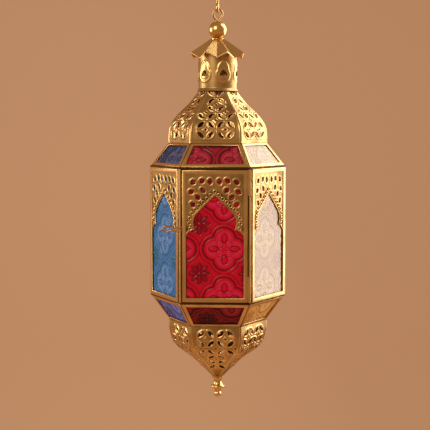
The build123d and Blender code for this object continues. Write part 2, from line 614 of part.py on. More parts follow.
def whole_lantern():
    """Every node of the lantern by name. A list of shapes is one node of separate solids."""
    nodes = {
        "hanging_hook": hanging_hook(),
        "hanging_loop": hanging_loop(),
        "ball": ball(),
        "pleated_cap": pleated_cap(),
        "neck": neck(),
        "upper_ring": ring(BODY_TOP_Z),
        "lower_ring": ring(LOWER_COLLAR_Z),
        "corner_posts": corner_posts(),
        "hinge_pin": hinge_pin(),
        "hinge_barrel": hinge_barrel(),
        "floor_plate": floor_plate(),
        "candle_cup": candle_cup(),
        "finial": finial(),
    }
    dome_points = profile_points(DOME_PROFILE_SHARES, DOME_RADIUS, DOME_TOP_RADIUS, COLLAR_TOP_Z, DOME_TOP_Z)
    bowl_points = profile_points(BOWL_PROFILE_SHARES, DOME_RADIUS, BOWL_TIP_RADIUS, BOWL_TOP_Z, BOWL_TIP_Z)
    dome = dome_panel(dome_points, DOME_ROW_SHARES, COLLAR_TOP_Z, DOME_TOP_Z)
    bowl = dome_panel(bowl_points, BOWL_ROW_SHARES, BOWL_TOP_Z, BOWL_TIP_Z)
    upper = (UPPER_COLLAR_HEIGHT, UPPER_RING_Z, COLLAR_TOP_Z)
    lower = (LOWER_COLLAR_HEIGHT, LOWER_COLLAR_Z, BOWL_TOP_Z)
    nodes["upper_collar_frames"] = [on_side(collar_frame(*upper), side) for side in SIDE_NAMES]
    nodes["lower_collar_frames"] = [on_side(collar_frame(*lower), side) for side in SIDE_NAMES]
    door_low, door_high = BODY_BOTTOM_Z + DOOR_END_GAP, BODY_TOP_Z - DOOR_END_GAP
    for side in SIDE_NAMES:
        nodes[f"dome_panel_{side}"] = on_side(dome, side)
        nodes[f"bowl_panel_{side}"] = on_side(bowl, side)
        nodes[f"upper_glass_{side}"] = on_side(collar_glass(*upper), side)
        nodes[f"lower_glass_{side}"] = on_side(collar_glass(*lower), side)
        if side == DOOR_SIDE:
            middle, width, low, high = DOOR_MIDDLE, DOOR_WIDTH, door_low, door_high
            names = ("door_frame", "door_fret", "door_glass")
        else:
            middle, width, low, high = 0, PANEL_WIDTH, BODY_BOTTOM_Z, BODY_TOP_Z
            names = (f"side_frame_{side}", f"side_fret_{side}", f"side_glass_{side}")
        shapes = (
            panel_frame(middle, width, low, high),
            panel_fret(middle, width, high),
            panel_glass(middle, width, low, high),
        )
        for name, shape in zip(names, shapes):
            nodes[name] = on_side(shape, side)
    nodes["door_knuckle_upper"] = door_knuckle(door_high - KNUCKLE_LENGTH)
    nodes["door_knuckle_lower"] = door_knuckle(door_low)
    nodes["door_pull"] = on_side(door_pull(), DOOR_SIDE)
    return nodes


def main():
    os.makedirs("parts", exist_ok=True)
    nodes = whole_lantern()
    for name, shape in nodes.items():
        pieces = shape if isinstance(shape, list) else [shape]
        solids = [solid for piece in pieces for solid in piece.solids()]
        export_step(Compound(children=solids), f"parts/{name}.step")
    print(len(nodes), "nodes from", round(HOOK_WIRE_RADIUS * 2, 2), "above the seat down to the finial")


if __name__ == "__main__":
    main()
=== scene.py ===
# %% [markdown]
# # A six-sided fanous lantern
# A fanous is a hanging candle lantern: thin brass sheet, punched and embossed while it is flat, then
# folded and soldered round panes of patterned glass. This script dresses the measured CAD model with what
# the punch and the glass mould leave behind: raised rims round every hole, ropes of small rings along the
# arches, and the relief of the panes. Sizes are written in millimetres and turned into metres where a
# mesh is made.

# %% Load the measured model
import bpy
import numpy as np
from math import atan2, cos, pi, radians, sin, sqrt
from mathutils import Matrix, Vector


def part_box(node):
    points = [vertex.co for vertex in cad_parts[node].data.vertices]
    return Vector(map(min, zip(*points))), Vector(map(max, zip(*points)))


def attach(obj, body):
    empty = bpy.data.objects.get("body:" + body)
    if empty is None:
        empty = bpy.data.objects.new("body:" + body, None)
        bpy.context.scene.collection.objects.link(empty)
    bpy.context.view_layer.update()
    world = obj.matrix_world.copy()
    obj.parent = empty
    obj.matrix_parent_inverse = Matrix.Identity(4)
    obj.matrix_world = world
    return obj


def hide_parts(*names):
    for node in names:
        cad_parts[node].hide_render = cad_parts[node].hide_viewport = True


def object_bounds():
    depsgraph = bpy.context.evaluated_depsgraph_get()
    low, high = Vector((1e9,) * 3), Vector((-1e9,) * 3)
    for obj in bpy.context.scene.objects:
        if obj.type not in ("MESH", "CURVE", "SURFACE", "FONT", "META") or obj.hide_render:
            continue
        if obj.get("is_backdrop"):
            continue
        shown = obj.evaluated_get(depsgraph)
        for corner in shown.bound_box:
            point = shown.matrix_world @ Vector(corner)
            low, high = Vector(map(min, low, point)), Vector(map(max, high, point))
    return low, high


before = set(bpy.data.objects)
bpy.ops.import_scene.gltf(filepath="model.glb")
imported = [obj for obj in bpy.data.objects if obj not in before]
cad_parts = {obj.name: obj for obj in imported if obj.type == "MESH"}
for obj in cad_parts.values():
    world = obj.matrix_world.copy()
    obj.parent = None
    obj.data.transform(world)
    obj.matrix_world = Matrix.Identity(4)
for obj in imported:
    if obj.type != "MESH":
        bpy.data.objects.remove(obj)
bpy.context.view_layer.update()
MM = 0.001
SIDES = ["front", "front_right", "back_right", "back", "back_left", "front_left"]
FIXED_SIDES = SIDES[1:]
HALVES = {"right": SIDES[:3], "left": SIDES[3:]}
FRONT = -90
SIDE_TURN = 360 / len(SIDES)

# %% [markdown]
# ## Sizes
# Levels are read from the CAD nodes, so the dressing follows the model if it changes. `span` gives a
# node's extent along one axis in millimetres. The rest are sizes that a box can't tell, such as the width
# of a bar. In a hexagon, the middle of a side lies nearer the axis than a corner does, and a side is as
# long as the corner's radius: two shares say so.

# %% Levels and sizes
def span(node, axis):
    """Lowest and highest coordinate of a CAD node along an axis, in millimetres."""
    low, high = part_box(node)
    return low[axis] / MM, high[axis] / MM


NECK_FOOT, NECK_TOP = span("neck", 2)
DOME_BOTTOM, DOME_TOP = span("dome_panel_front", 2)
BOWL_TIP, BOWL_TOP = span("bowl_panel_front", 2)
DOOR_BOTTOM, DOOR_TOP = span("door_frame", 2)
BODY_BOTTOM, BODY_TOP = span("side_frame_back", 2)
DOOR_LEFT, DOOR_RIGHT = span("door_frame", 0)
SHEET_FRONT = -span("door_fret", 1)[0]
GLASS_FRONT = -span("door_glass", 1)[0]
GLASS_BACK = -span("door_glass", 1)[1]
DOME_RADIUS = 2 * span("dome_panel_front", 0)[1]
RAIL = 3.6
STILE = 3.2
MIDDLE_SHARE = cos(pi / 6)
HALF_SIDE_SHARE = 0.5
print("door", round(DOOR_RIGHT - DOOR_LEFT, 1), "x", round(DOOR_TOP - DOOR_BOTTOM, 1), "mm")

# %% [markdown]
# ## Brass and glass
# Old lantern brass is never one colour: it is golden where hands and solder flux have rubbed it and brown
# in the recesses. A picture of brass would repeat and would not know where the recesses are. Here every
# punched sheet carries a number at each point that says how deep the point lies beside a rim, and a shared
# node group mixes a brown into those places, with two sizes of noise for the uneven polish. That brown is
# partly patina and partly painted shade: it also darkens the sheet under the rope of rings and the back
# folds of the bars, in the seams between them.

# %% Brass
def new_group(name, inputs, outputs):
    """An empty shader node group with its sockets."""
    group = bpy.data.node_groups.new(name, "ShaderNodeTree")
    for kind, sockets in (("INPUT", inputs), ("OUTPUT", outputs)):
        for label, socket, value in sockets:
            made = group.interface.new_socket(label, in_out=kind, socket_type=socket)
            if value is not None:
                made.default_value = value
    return group, group.nodes.new("NodeGroupInput"), group.nodes.new("NodeGroupOutput")


def link(tree, start, output, end, socket):
    """Joins an output of one node to an input socket of another."""
    tree.links.new(start.outputs[output], end.inputs[socket])


def aged_and_shaded_metal_group():
    """Colour, roughness and height of brass, worn bright on top and brown in its hollows; the brown is partly
    patina and partly painted shade.
    """
    group, given, out = new_group(
        "aged_and_shaded_metal",
        [("Bright", "NodeSocketColor", (0.80, 0.55, 0.22, 1)),
         ("Brown", "NodeSocketColor", (0.24, 0.12, 0.035, 1)),
         ("Wear Scale", "NodeSocketFloat", 60.0),
         ("Roughness", "NodeSocketFloat", 0.3)],
        [("Color", "NodeSocketColor", None),
         ("Roughness", "NodeSocketFloat", None),
         ("Height", "NodeSocketFloat", None)],
    )
    nodes = group.nodes
    place = nodes.new("ShaderNodeTexCoord")
    # The sheet's number sets the brown: partly patina, partly painted shade.
    patina_and_shade = nodes.new("ShaderNodeAttribute")
    patina_and_shade.attribute_name = "patina_and_shade"
    broad = nodes.new("ShaderNodeTexNoise")
    fine = nodes.new("ShaderNodeTexNoise")
    fine.inputs["Scale"].default_value = 900.0
    fine.inputs["Detail"].default_value = 3.0
    broad.inputs["Detail"].default_value = 4.0
    link(group, place, "Object", broad, "Vector")
    link(group, place, "Object", fine, "Vector")
    link(group, given, "Wear Scale", broad, "Scale")
    worn = nodes.new("ShaderNodeMapRange")
    worn.inputs["From Min"].default_value = 0.42
    worn.inputs["From Max"].default_value = 0.75
    worn.inputs["To Max"].default_value = 0.42
    link(group, broad, "Fac", worn, "Value")
    total = nodes.new("ShaderNodeMath")
    total.operation = "ADD"
    total.use_clamp = True
    link(group, patina_and_shade, "Fac", total, 0)
    link(group, worn, "Result", total, 1)
    mix = nodes.new("ShaderNodeMix")
    mix.data_type = "RGBA"
    link(group, total, "Value", mix, "Factor")
    link(group, given, "Bright", mix, "A")
    link(group, given, "Brown", mix, "B")
    link(group, mix, "Result", out, "Color")
    rough = nodes.new("ShaderNodeMath")
    rough.operation = "MULTIPLY_ADD"
    rough.inputs[1].default_value = 0.28
    link(group, total, "Value", rough, 0)
    link(group, given, "Roughness", rough, 2)
    link(group, rough, "Value", out, "Roughness")
    link(group, fine, "Fac", out, "Height")
    return group


AGED_AND_SHADED_METAL = aged_and_shaded_metal_group()


def brass(name, bright, brown, roughness, bump):
    """A brass from the shared group."""
    material = bpy.data.materials.new(name)
    material.use_nodes = True
    tree = material.node_tree
    shader = tree.nodes["Principled BSDF"]
    shader.inputs["Metallic"].default_value = 1.0
    group = tree.nodes.new("ShaderNodeGroup")
    group.node_tree = AGED_AND_SHADED_METAL
    group.inputs["Bright"].default_value = (*bright, 1)
    group.inputs["Brown"].default_value = (*brown, 1)
    group.inputs["Roughness"].default_value = roughness
    relief = tree.nodes.new("ShaderNodeBump")
    relief.inputs["Strength"].default_value = bump
    relief.inputs["Distance"].default_value = 0.0002
    link(tree, group, "Color", shader, "Base Color")
    link(tree, group, "Roughness", shader, "Roughness")
    link(tree, group, "Height", relief, "Height")
    link(tree, relief, "Normal", shader, "Normal")
    return material


SHEET_BRASS = brass("sheet_brass", (0.84, 0.54, 0.20), (0.16, 0.075, 0.018), 0.25, 0.2)
FRAME_BRASS = brass("frame_brass", (0.78, 0.48, 0.18), (0.22, 0.10, 0.026), 0.30, 0.3)
WIRE_BRASS = brass("wire_brass", (0.66, 0.40, 0.16), (0.16, 0.07, 0.02), 0.26, 0.2)
POLISHED_BRASS = brass("polished_brass", (0.84, 0.54, 0.20), (0.30, 0.14, 0.04), 0.24, 0.05)
# A near-black brass: painted shade for parts that show only inside and in the seams.
SHADE_PAINTED_BRASS = brass("painted_shade_brass", (0.10, 0.05, 0.015), (0.03, 0.014, 0.005), 0.6, 0.3)
RIM_BRASS = brass("rim_brass", (0.98, 0.66, 0.27), (0.55, 0.30, 0.09), 0.2, 0.15)
BRASSES = (SHEET_BRASS, FRAME_BRASS, WIRE_BRASS, POLISHED_BRASS, SHADE_PAINTED_BRASS, RIM_BRASS)
print("brasses:", ", ".join(metal.name for metal in BRASSES))

# %% [markdown]
# Figured glass is rolled on a patterned cylinder. Its lines look dark because they send light sideways,
# and its dots look pale because each is a tiny lens. The mould's height is stored on every pane as
# `relief`, and the glass group leans its colour towards a deep tone in the grooves and a pale tone on the
# tops. The pane itself stays part see-through and part coloured, which is how a thick-coloured pane looks
# with no candle lit behind it.

# %% Glass
def figured_glass_group():
    """Colour of a figured pane from the height of its mould."""
    group, given, out = new_group(
        "figured_glass",
        [("Deep", "NodeSocketColor", (0.3, 0, 0.02, 1)),
         ("Body", "NodeSocketColor", (0.6, 0, 0.05, 1)),
         ("Pale", "NodeSocketColor", (0.9, 0.2, 0.3, 1))],
        [("Color", "NodeSocketColor", None)],
    )
    relief = group.nodes.new("ShaderNodeAttribute")
    relief.attribute_name = "relief"
    lower = group.nodes.new("ShaderNodeMapRange")
    lower.inputs["From Min"].default_value = -0.30
    lower.inputs["From Max"].default_value = 0.0
    upper = group.nodes.new("ShaderNodeMapRange")
    upper.inputs["From Min"].default_value = 0.02
    upper.inputs["From Max"].default_value = 0.30
    mixes = []
    for ramp in (lower, upper):
        link(group, relief, "Fac", ramp, "Value")
        mix = group.nodes.new("ShaderNodeMix")
        mix.data_type = "RGBA"
        link(group, ramp, "Result", mix, "Factor")
        mixes.append(mix)
    link(group, given, "Deep", mixes[0], "A")
    link(group, given, "Body", mixes[0], "B")
    link(group, mixes[0], "Result", mixes[1], "A")
    link(group, given, "Pale", mixes[1], "B")
    link(group, mixes[1], "Result", out, "Color")
    return group


FIGURED_GLASS = figured_glass_group()


def glass(name, deep, body, pale, clear, roughness, shine):
    """A coloured pane: clear is the share of light that goes through, shine the strength of its mirror."""
    material = bpy.data.materials.new(name)
    material.use_nodes = True
    tree = material.node_tree
    shader = tree.nodes["Principled BSDF"]
    shader.inputs["Transmission Weight"].default_value = clear
    shader.inputs["Roughness"].default_value = roughness
    shader.inputs["IOR"].default_value = 1.5
    shader.inputs["Specular IOR Level"].default_value = shine
    group = tree.nodes.new("ShaderNodeGroup")
    group.node_tree = FIGURED_GLASS
    for label, colour in (("Deep", deep), ("Body", body), ("Pale", pale)):
        group.inputs[label].default_value = (*colour, 1)
    link(tree, group, "Color", shader, "Base Color")
    return material


GLASS = {
    "red": glass("red_glass", (0.28, 0.0, 0.014), (0.84, 0.001, 0.030), (0.84, 0.045, 0.17),
                 clear=0.10, roughness=0.25, shine=0.25),
    "blue": glass("blue_glass", (0.004, 0.16, 0.34), (0.055, 0.25, 0.68), (0.26, 0.47, 0.90),
                  clear=0.2, roughness=0.25, shine=0.35),
    "amber": glass("amber_glass", (0.46, 0.20, 0.03), (0.70, 0.42, 0.12), (0.9, 0.70, 0.36),
                   clear=0.3, roughness=0.12, shine=0.9),
    "green": glass("green_glass", (0.008, 0.10, 0.03), (0.03, 0.32, 0.10), (0.2, 0.55, 0.28),
                   clear=0.25, roughness=0.12, shine=0.5),
}
# The collars' red and blue are darker copies of the body's glass: painted shade on the upper collar's sloping
# panes.
UPPER_GLASS_PAINTED_SHADE = GLASS | {
    "red": glass("red_collar_glass_painted_shade", (0.12, 0.0, 0.009), (0.54, 0.010, 0.040), (0.74, 0.07, 0.13),
                 clear=0.22, roughness=0.25, shine=0.35),
    "blue": glass("blue_collar_glass_painted_shade", (0.008, 0.02, 0.07), (0.035, 0.07, 0.20), (0.15, 0.19, 0.45),
                  clear=0.25, roughness=0.22, shine=0.2),
}
# The lower collar's red is a darker copy still: painted shade on panes that face down.
LOWER_GLASS_PAINTED_SHADE = UPPER_GLASS_PAINTED_SHADE | {
    "red": glass("red_lower_glass_painted_shade", (0.06, 0.0, 0.004), (0.33, 0.002, 0.020), (0.56, 0.03, 0.08),
                 clear=0.22, roughness=0.25, shine=0.12),
    "blue": glass("violet_glass", (0.02, 0.05, 0.26), (0.10, 0.16, 0.66), (0.28, 0.34, 0.95),
                  clear=0.15, roughness=0.22, shine=0.2),
    "amber": glass("honey_glass", (0.60, 0.26, 0.03), (1.0, 0.60, 0.18), (1.0, 0.80, 0.42),
                   clear=0.1, roughness=0.2, shine=0.3),
}
RELIEF = {"red": 1.0, "blue": 0.7, "amber": 0.25, "green": 0.5}
GLASS_OF = dict(zip(SIDES, ("red", "amber", "green", "red", "amber", "blue")))
print("glass colours:", ", ".join(GLASS))

# %% [markdown]
# ## Sheets cut by a distance
# Every punched sheet is made the same way: a fine flat grid, a function that says how far each point is
# inside the metal, and a height that lifts the point off the sheet. Cells that the cut line crosses are
# clipped on the line, so holes get clean edges without a boolean. The alternative, a boolean per hole,
# would leave sharp flat edges with no rim, and there are hundreds of holes.

# %% Sheet builder
SMOOTH_BELOW = 40
CUT_SMOOTH_BELOW = 50


def clipped_grid(us, vs, inside):
    """Points and faces of a grid where inside is positive, with the crossing cells clipped on the line."""
    u, v = np.meshgrid(us, vs, indexing="ij")
    points = np.column_stack([u.ravel(), v.ravel()])
    depth = inside(points[:, 0], points[:, 1])
    columns = len(vs)
    corner = (np.arange(len(us) - 1)[:, None] * columns + np.arange(columns - 1)[None, :]).ravel()
    cells = np.column_stack([corner, corner + columns, corner + columns + 1, corner + 1])
    kept = (depth[cells] > 0).sum(axis=1)
    faces = [tuple(cell) for cell in cells[kept == 4].tolist()]
    extra, cut = [], {}
    for cell in cells[(kept > 0) & (kept < 4)].tolist():
        ring = []
        for a, b in zip(cell, cell[1:] + cell[:1]):
            if depth[a] > 0:
                ring.append(a)
            if (depth[a] > 0) != (depth[b] > 0):
                key = (min(a, b), max(a, b))
                if key not in cut:
                    share = depth[a] / (depth[a] - depth[b])
                    cut[key] = len(points) + len(extra)
                    extra.append(points[a] + share * (points[b] - points[a]))
                ring.append(cut[key])
        if len(ring) > 2:
            faces.append(tuple(ring))
    if extra:
        points = np.vstack([points, np.array(extra)])
    used = np.unique(np.concatenate([np.array(face) for face in faces]))
    renumber = np.full(len(points), -1)
    renumber[used] = np.arange(len(used))
    return points[used], [tuple(int(renumber[i]) for i in face) for face in faces]


def add_object(name, data):
    """A new object in the scene, at the origin."""
    made = bpy.data.objects.new(name, data)
    bpy.context.scene.collection.objects.link(made)
    return made


def mesh_object(name, points, faces, attributes=None, sharp=SMOOTH_BELOW):
    """An object from points in millimetres, smooth except across edges sharper than that many degrees."""
    mesh = bpy.data.meshes.new(name)
    mesh.from_pydata((np.asarray(points) * MM).tolist(), [], faces)
    for label, values in (attributes or {}).items():
        layer = mesh.attributes.new(label, "FLOAT", "POINT")
        layer.data.foreach_set("value", np.asarray(values, dtype=np.float32))
    mesh.update()
    mesh.shade_smooth()
    if sharp:
        mesh.set_sharp_from_angle(angle=radians(sharp))
    return add_object(name, mesh)


def plain(obj):
    """The object with its modifiers turned into a plain mesh."""
    graph = bpy.context.evaluated_depsgraph_get()
    mesh = bpy.data.meshes.new_from_object(obj.evaluated_get(graph), depsgraph=graph)
    obj.modifiers.clear()
    old, obj.data = obj.data, mesh
    mesh.name = obj.name
    bpy.data.meshes.remove(old)
    return obj


def thicken(obj, thickness):
    """Gives a sheet its thickness, inward from the shaped face."""
    solid = obj.modifiers.new("thickness", "SOLIDIFY")
    solid.thickness = thickness * MM
    solid.offset = -1.0
    plain(obj)
    obj.data.set_sharp_from_angle(angle=radians(CUT_SMOOTH_BELOW))
    return obj


print("sheets are smooth below", SMOOTH_BELOW, "degrees, cut ones below", CUT_SMOOTH_BELOW)

# %% [markdown]
# What is cut or raised is told by distances: how far a point lies outside a leaf, a diamond or a line. A
# ridge is a bump at one distance, and a soft step is a fade across a line. A search for the nearest shape
# starts from `FAR`, which is further out than any ridge reaches.

# %% Distances
FAR = 9.0


def bump(distance, centre, width, height):
    """A rounded ridge of that height where a distance equals centre."""
    return height * np.exp(-(((distance - centre) / width) ** 2))


def fade(distance, width):
    """One well inside a line and zero well outside it, with a soft change of that width."""
    return 1 / (1 + np.exp(distance / width))


def leaf_distance(x, y, length, width):
    """Distance outside a pointed leaf whose long axis is x."""
    half, rise = length / 2, width / 2
    radius = (half * half + rise * rise) / (2 * rise)
    return np.hypot(x, np.abs(y) + radius - rise) - radius


def diamond_distance(x, y, half_x, half_y):
    """Distance outside a diamond."""
    scale = half_x * half_y / sqrt(half_x**2 + half_y**2)
    return (np.abs(x) / half_x + np.abs(y) / half_y - 1) * scale


def turned(x, y, angle):
    """Coordinates in a frame turned by an angle."""
    c, s = cos(angle), sin(angle)
    return c * x + s * y, -s * x + c * y


def path_distance(x, y, path):
    """Distance to an open path of points."""
    best = np.full(np.shape(x), np.inf)
    for (x0, y0), (x1, y1) in zip(path, path[1:]):
        dx, dy = x1 - x0, y1 - y0
        share = np.clip(((x - x0) * dx + (y - y0) * dy) / (dx * dx + dy * dy), 0, 1)
        best = np.minimum(best, np.hypot(x - x0 - share * dx, y - y0 - share * dy))
    return best


print("ridges end within", FAR, "mm")

# %% [markdown]
# ## Repeating round the axis
# Six sides are the same piece six times, so a Geometry Nodes tree makes the ring: one sheet, modelled
# with +X outward, is placed on a row of points and turned by a sixth of a turn at each. The tree's inputs
# say how many copies there are and where the first one faces, so the same tree serves a ring of six
# collar frames, five side frames, or half a dome.

# %% Ring tree
def new_tree(name, inputs):
    """An empty Geometry Nodes tree that takes a mesh, its named inputs and a material, and gives a mesh."""
    tree = bpy.data.node_groups.new(name, "GeometryNodeTree")
    for label, kind in (("Geometry", "Geometry"), *inputs, ("Material", "Material")):
        tree.interface.new_socket(label, in_out="INPUT", socket_type=f"NodeSocket{kind}")
    tree.interface.new_socket("Geometry", in_out="OUTPUT", socket_type="NodeSocketGeometry")
    return tree, tree.nodes.new("NodeGroupInput"), tree.nodes.new("NodeGroupOutput")


def ring_tree():
    """Geometry Nodes: copies of the object's own mesh, turned about the vertical axis."""
    inputs = [("Count", "Int"), ("First Angle", "Float"), ("Step Angle", "Float")]
    tree, given, out = new_tree("ring_of_copies", inputs)
    nodes = tree.nodes
    line = nodes.new("GeometryNodeMeshLine")
    line.inputs["Offset"].default_value = (0, 0, 0)
    link(tree, given, "Count", line, "Count")
    index = nodes.new("GeometryNodeInputIndex")
    angle = nodes.new("ShaderNodeMath")
    angle.operation = "MULTIPLY_ADD"
    link(tree, index, "Index", angle, 0)
    link(tree, given, "Step Angle", angle, 1)
    link(tree, given, "First Angle", angle, 2)
    turn = nodes.new("ShaderNodeCombineXYZ")
    link(tree, angle, "Value", turn, "Z")
    copies = nodes.new("GeometryNodeInstanceOnPoints")
    link(tree, line, "Mesh", copies, "Points")
    link(tree, given, "Geometry", copies, "Instance")
    link(tree, turn, "Vector", copies, "Rotation")
    real = nodes.new("GeometryNodeRealizeInstances")
    link(tree, copies, "Instances", real, "Geometry")
    paint = nodes.new("GeometryNodeSetMaterial")
    link(tree, real, "Geometry", paint, "Geometry")
    link(tree, given, "Material", paint, "Material")
    link(tree, paint, "Geometry", out, "Geometry")
    return tree


RING = ring_tree()


def set_inputs(modifier, tree, values):
    """Sets a tree's named inputs on its modifier."""
    for item in tree.interface.items_tree:
        if item.in_out == "INPUT" and item.name in values:
            modifier[item.identifier] = values[item.name]


def azimuth(side):
    """The direction that a side faces."""
    return radians(FRONT + SIDE_TURN * SIDES.index(side))


def ring_of(obj, sides, material):
    """Turns a piece made with +X outward into copies on consecutive sides."""
    modifier = obj.modifiers.new("ring", "NODES")
    modifier.node_group = RING
    values = {"Count": len(sides), "First Angle": azimuth(sides[0]), "Step Angle": radians(SIDE_TURN)}
    set_inputs(modifier, RING, values | {"Material": material})
    return plain(obj)


def dress(piece, body, slot, *nodes):
    """Parents a piece to the empty of its body and hides the CAD nodes that it stands for."""
    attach(piece, body)
    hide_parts(*nodes)
    print(piece.name, "for", len(nodes), "nodes,", len(piece.data.polygons), "faces")


print("ring tree:", len(RING.nodes), "nodes")

# %% [markdown]
# ## Pierced domes
# Each dome panel is curved from top to bottom but straight across, because it was punched flat and only
# bent one way. So the pattern is drawn on the flat sheet, in distance across and distance along the
# curve, and then wrapped. Slanting leaves alternate like a basket weave: four of them make a flower, and
# the next four a ring with a small diamond in it. So many fine faces would make one heavy mesh, so the
# dome and the bowl are made as a right and a left half.

# %% Sizes of the domes
DOME_TOP_RADIUS = 16.8
BOWL_TIP_RADIUS = 5.4
DOME_SHARES = [
    (0.0, 1.0), (0.33, 0.755), (0.62, 0.59), (0.855, 0.425), (0.97, 0.28), (1.0, 0.12), (1.0, 0.0),
]
BOWL_SHARES = [
    (0.0, 1.0), (0.185, 0.86), (0.46, 0.675), (0.765, 0.508), (0.91, 0.388), (0.995, 0.18), (1.0, 0.0),
]
SHEET = 0.7
SEAM_GAP = 0.06
LEAF = (7.6, 3.3)
LEAF_PITCH = 8.5
LEAF_MARGIN = 3.3
LEAF_COLUMNS = range(-3, 3)
SPARK = (1.1, 1.1)
SPARK_MARGIN = 3.0
SPARK_COLUMNS = range(-2, 3)
ROWS = 6
ROW_PITCH = LEAF_PITCH * 1.07
DOME_FIRST_ROW = 7.0
BOWL_FIRST_ROW = 6.5
RIM = 0.55
RIM_RIDGE = (0.7, 0.62, RIM)
HEM_RIDGE = (0.9, 0.5, 0.25)
FLAT_BROWN = 0.42
PANEL_COLUMNS = 111
CELL = 0.4
print("leaves of", LEAF[0], "x", LEAF[1], "mm in", ROWS, "rows")

# %% [markdown]
# The outline of a panel is a list of shares, radius against height, with a smooth line drawn through
# them. A ridge is written as three numbers: how far it lies from the edge of a hole, how wide it is, and
# how high.

# %% Dome panels
def smooth_line(points, steps=24):
    """A smooth line through points, as many short runs."""
    p = np.array([points[0], *points, points[-1]], dtype=float)
    p[0] = 2 * p[1] - p[2]
    p[-1] = 2 * p[-2] - p[-3]
    t = np.linspace(0, 1, steps, endpoint=False)[:, None]
    runs = []
    for a, b, c, d in zip(p, p[1:], p[2:], p[3:]):
        square, cube = 2 * a - 5 * b + 4 * c - d, 3 * b - a - 3 * c + d
        runs.append(0.5 * (2 * b + (c - a) * t + square * t**2 + cube * t**3))
    return np.vstack([*runs, p[-2][None, :]])


def pierced_panel(name, shares, narrow, wide_z, narrow_z, first_row):
    """One dome panel with +X outward: leaves, small diamonds, rims and a hem along its edges."""
    spread, rise = DOME_RADIUS - narrow, narrow_z - wide_z
    outline = smooth_line([(narrow + r * spread, wide_z + h * rise) for r, h in shares[::-1]])
    steps = np.hypot(*np.diff(outline, axis=0).T)
    along = np.concatenate([[0], np.cumsum(steps)])
    length = along[-1]
    levels = first_row + ROW_PITCH * np.arange(ROWS)

    def half_width(s):
        return np.interp(s, along, outline[:, 0]) * HALF_SIDE_SHARE

    def edge(u, s):
        return half_width(s) - np.abs(u) - SEAM_GAP

    def holes(u, s):
        best = np.full(np.shape(u), FAR)
        for row, level in enumerate(levels):
            for n in LEAF_COLUMNS:
                centre = (n + 0.5) * LEAF_PITCH
                if half_width(level) - abs(centre) > LEAF_MARGIN:
                    slant = pi / 4 if (row + n) % 2 else -pi / 4
                    best = np.minimum(best, leaf_distance(*turned(u - centre, s - level, slant), *LEAF))
        for row, level in enumerate(levels[:-1] + ROW_PITCH / 2):
            for n in SPARK_COLUMNS:
                centre = n * LEAF_PITCH
                if (row + n) % 2 and half_width(level) - abs(centre) > SPARK_MARGIN:
                    best = np.minimum(best, diamond_distance(u - centre, s - level, *SPARK))
        return best

    us = np.linspace(-DOME_RADIUS, DOME_RADIUS, PANEL_COLUMNS) * HALF_SIDE_SHARE
    vs = np.linspace(0, length, int(length / CELL))
    flat, faces = clipped_grid(us, vs, lambda u, s: np.minimum(edge(u, s), holes(u, s)))
    u, s = flat[:, 0], flat[:, 1]
    radius = np.interp(s, along, outline[:, 0]) * MIDDLE_SHARE
    level = np.interp(s, along, outline[:, 1])
    slope_r = np.gradient(outline[:, 0] * MIDDLE_SHARE, along)
    slope_z = np.gradient(outline[:, 1], along)
    sign = 1 if narrow_z > wide_z else -1
    out_r = sign * np.interp(s, along, slope_z)
    out_z = -sign * np.interp(s, along, slope_r)
    height = bump(holes(u, s), *RIM_RIDGE) + bump(edge(u, s), *HEM_RIDGE)
    points = np.column_stack([radius + out_r * height, u, level + out_z * height])
    if sign < 0:
        faces = [face[::-1] for face in faces]
    # Brown on the flat sheet and none on the raised rims, as patina and painted shade.
    patina_and_shade = np.clip(FLAT_BROWN - height / RIM, 0, FLAT_BROWN)
    return thicken(mesh_object(name, points, faces, {"patina_and_shade": patina_and_shade}), SHEET)


for half, sides in HALVES.items():
    dome = pierced_panel(
        f"dome_{half}", DOME_SHARES, DOME_TOP_RADIUS, DOME_BOTTOM, DOME_TOP, DOME_FIRST_ROW,
    )
    ring_of(dome, sides, SHEET_BRASS)
    dress(dome, "lantern", "brass", *[f"dome_panel_{side}" for side in sides])
    bowl = pierced_panel(f"bowl_{half}", BOWL_SHARES, BOWL_TIP_RADIUS, BOWL_TOP, BOWL_TIP, BOWL_FIRST_ROW)
    ring_of(bowl, sides, SHEET_BRASS)
    dress(bowl, "lantern", "brass", *[f"bowl_panel_{side}" for side in sides])

# %% [markdown]
# ## Frets and their arches
# The fret is a thin punched sheet in front of each pane: diamonds with raised rims above a pointed,
# waisted arch, and a rope of small rings that follows the arch. The arch is written once as a path; the
# cut, the rolled edge and the rope of rings are all measured from it. Its corners, and the places of the
# diamonds, are shares of the window's half width and of the fret's height, so the same fret fits the door
# and the sides. A diamond's third number is its turn in degrees.

# %% Arch path
FRET_HEIGHT = 53.6
FAR_BELOW = -3 * FRET_HEIGHT
HALF_WINDOW = (DOOR_RIGHT - DOOR_LEFT) / 2 - STILE
ARCH_DROP_SHARES = (0.34, 0.604, 0.744, 0.882)
ARCH_HALF_SHARES = (0.0, 0.584, 0.738, 0.673)
FLARE_BULGE = (1.0, 1.4)
ARCH_STEPS, FLARE_STEPS = 14, 8


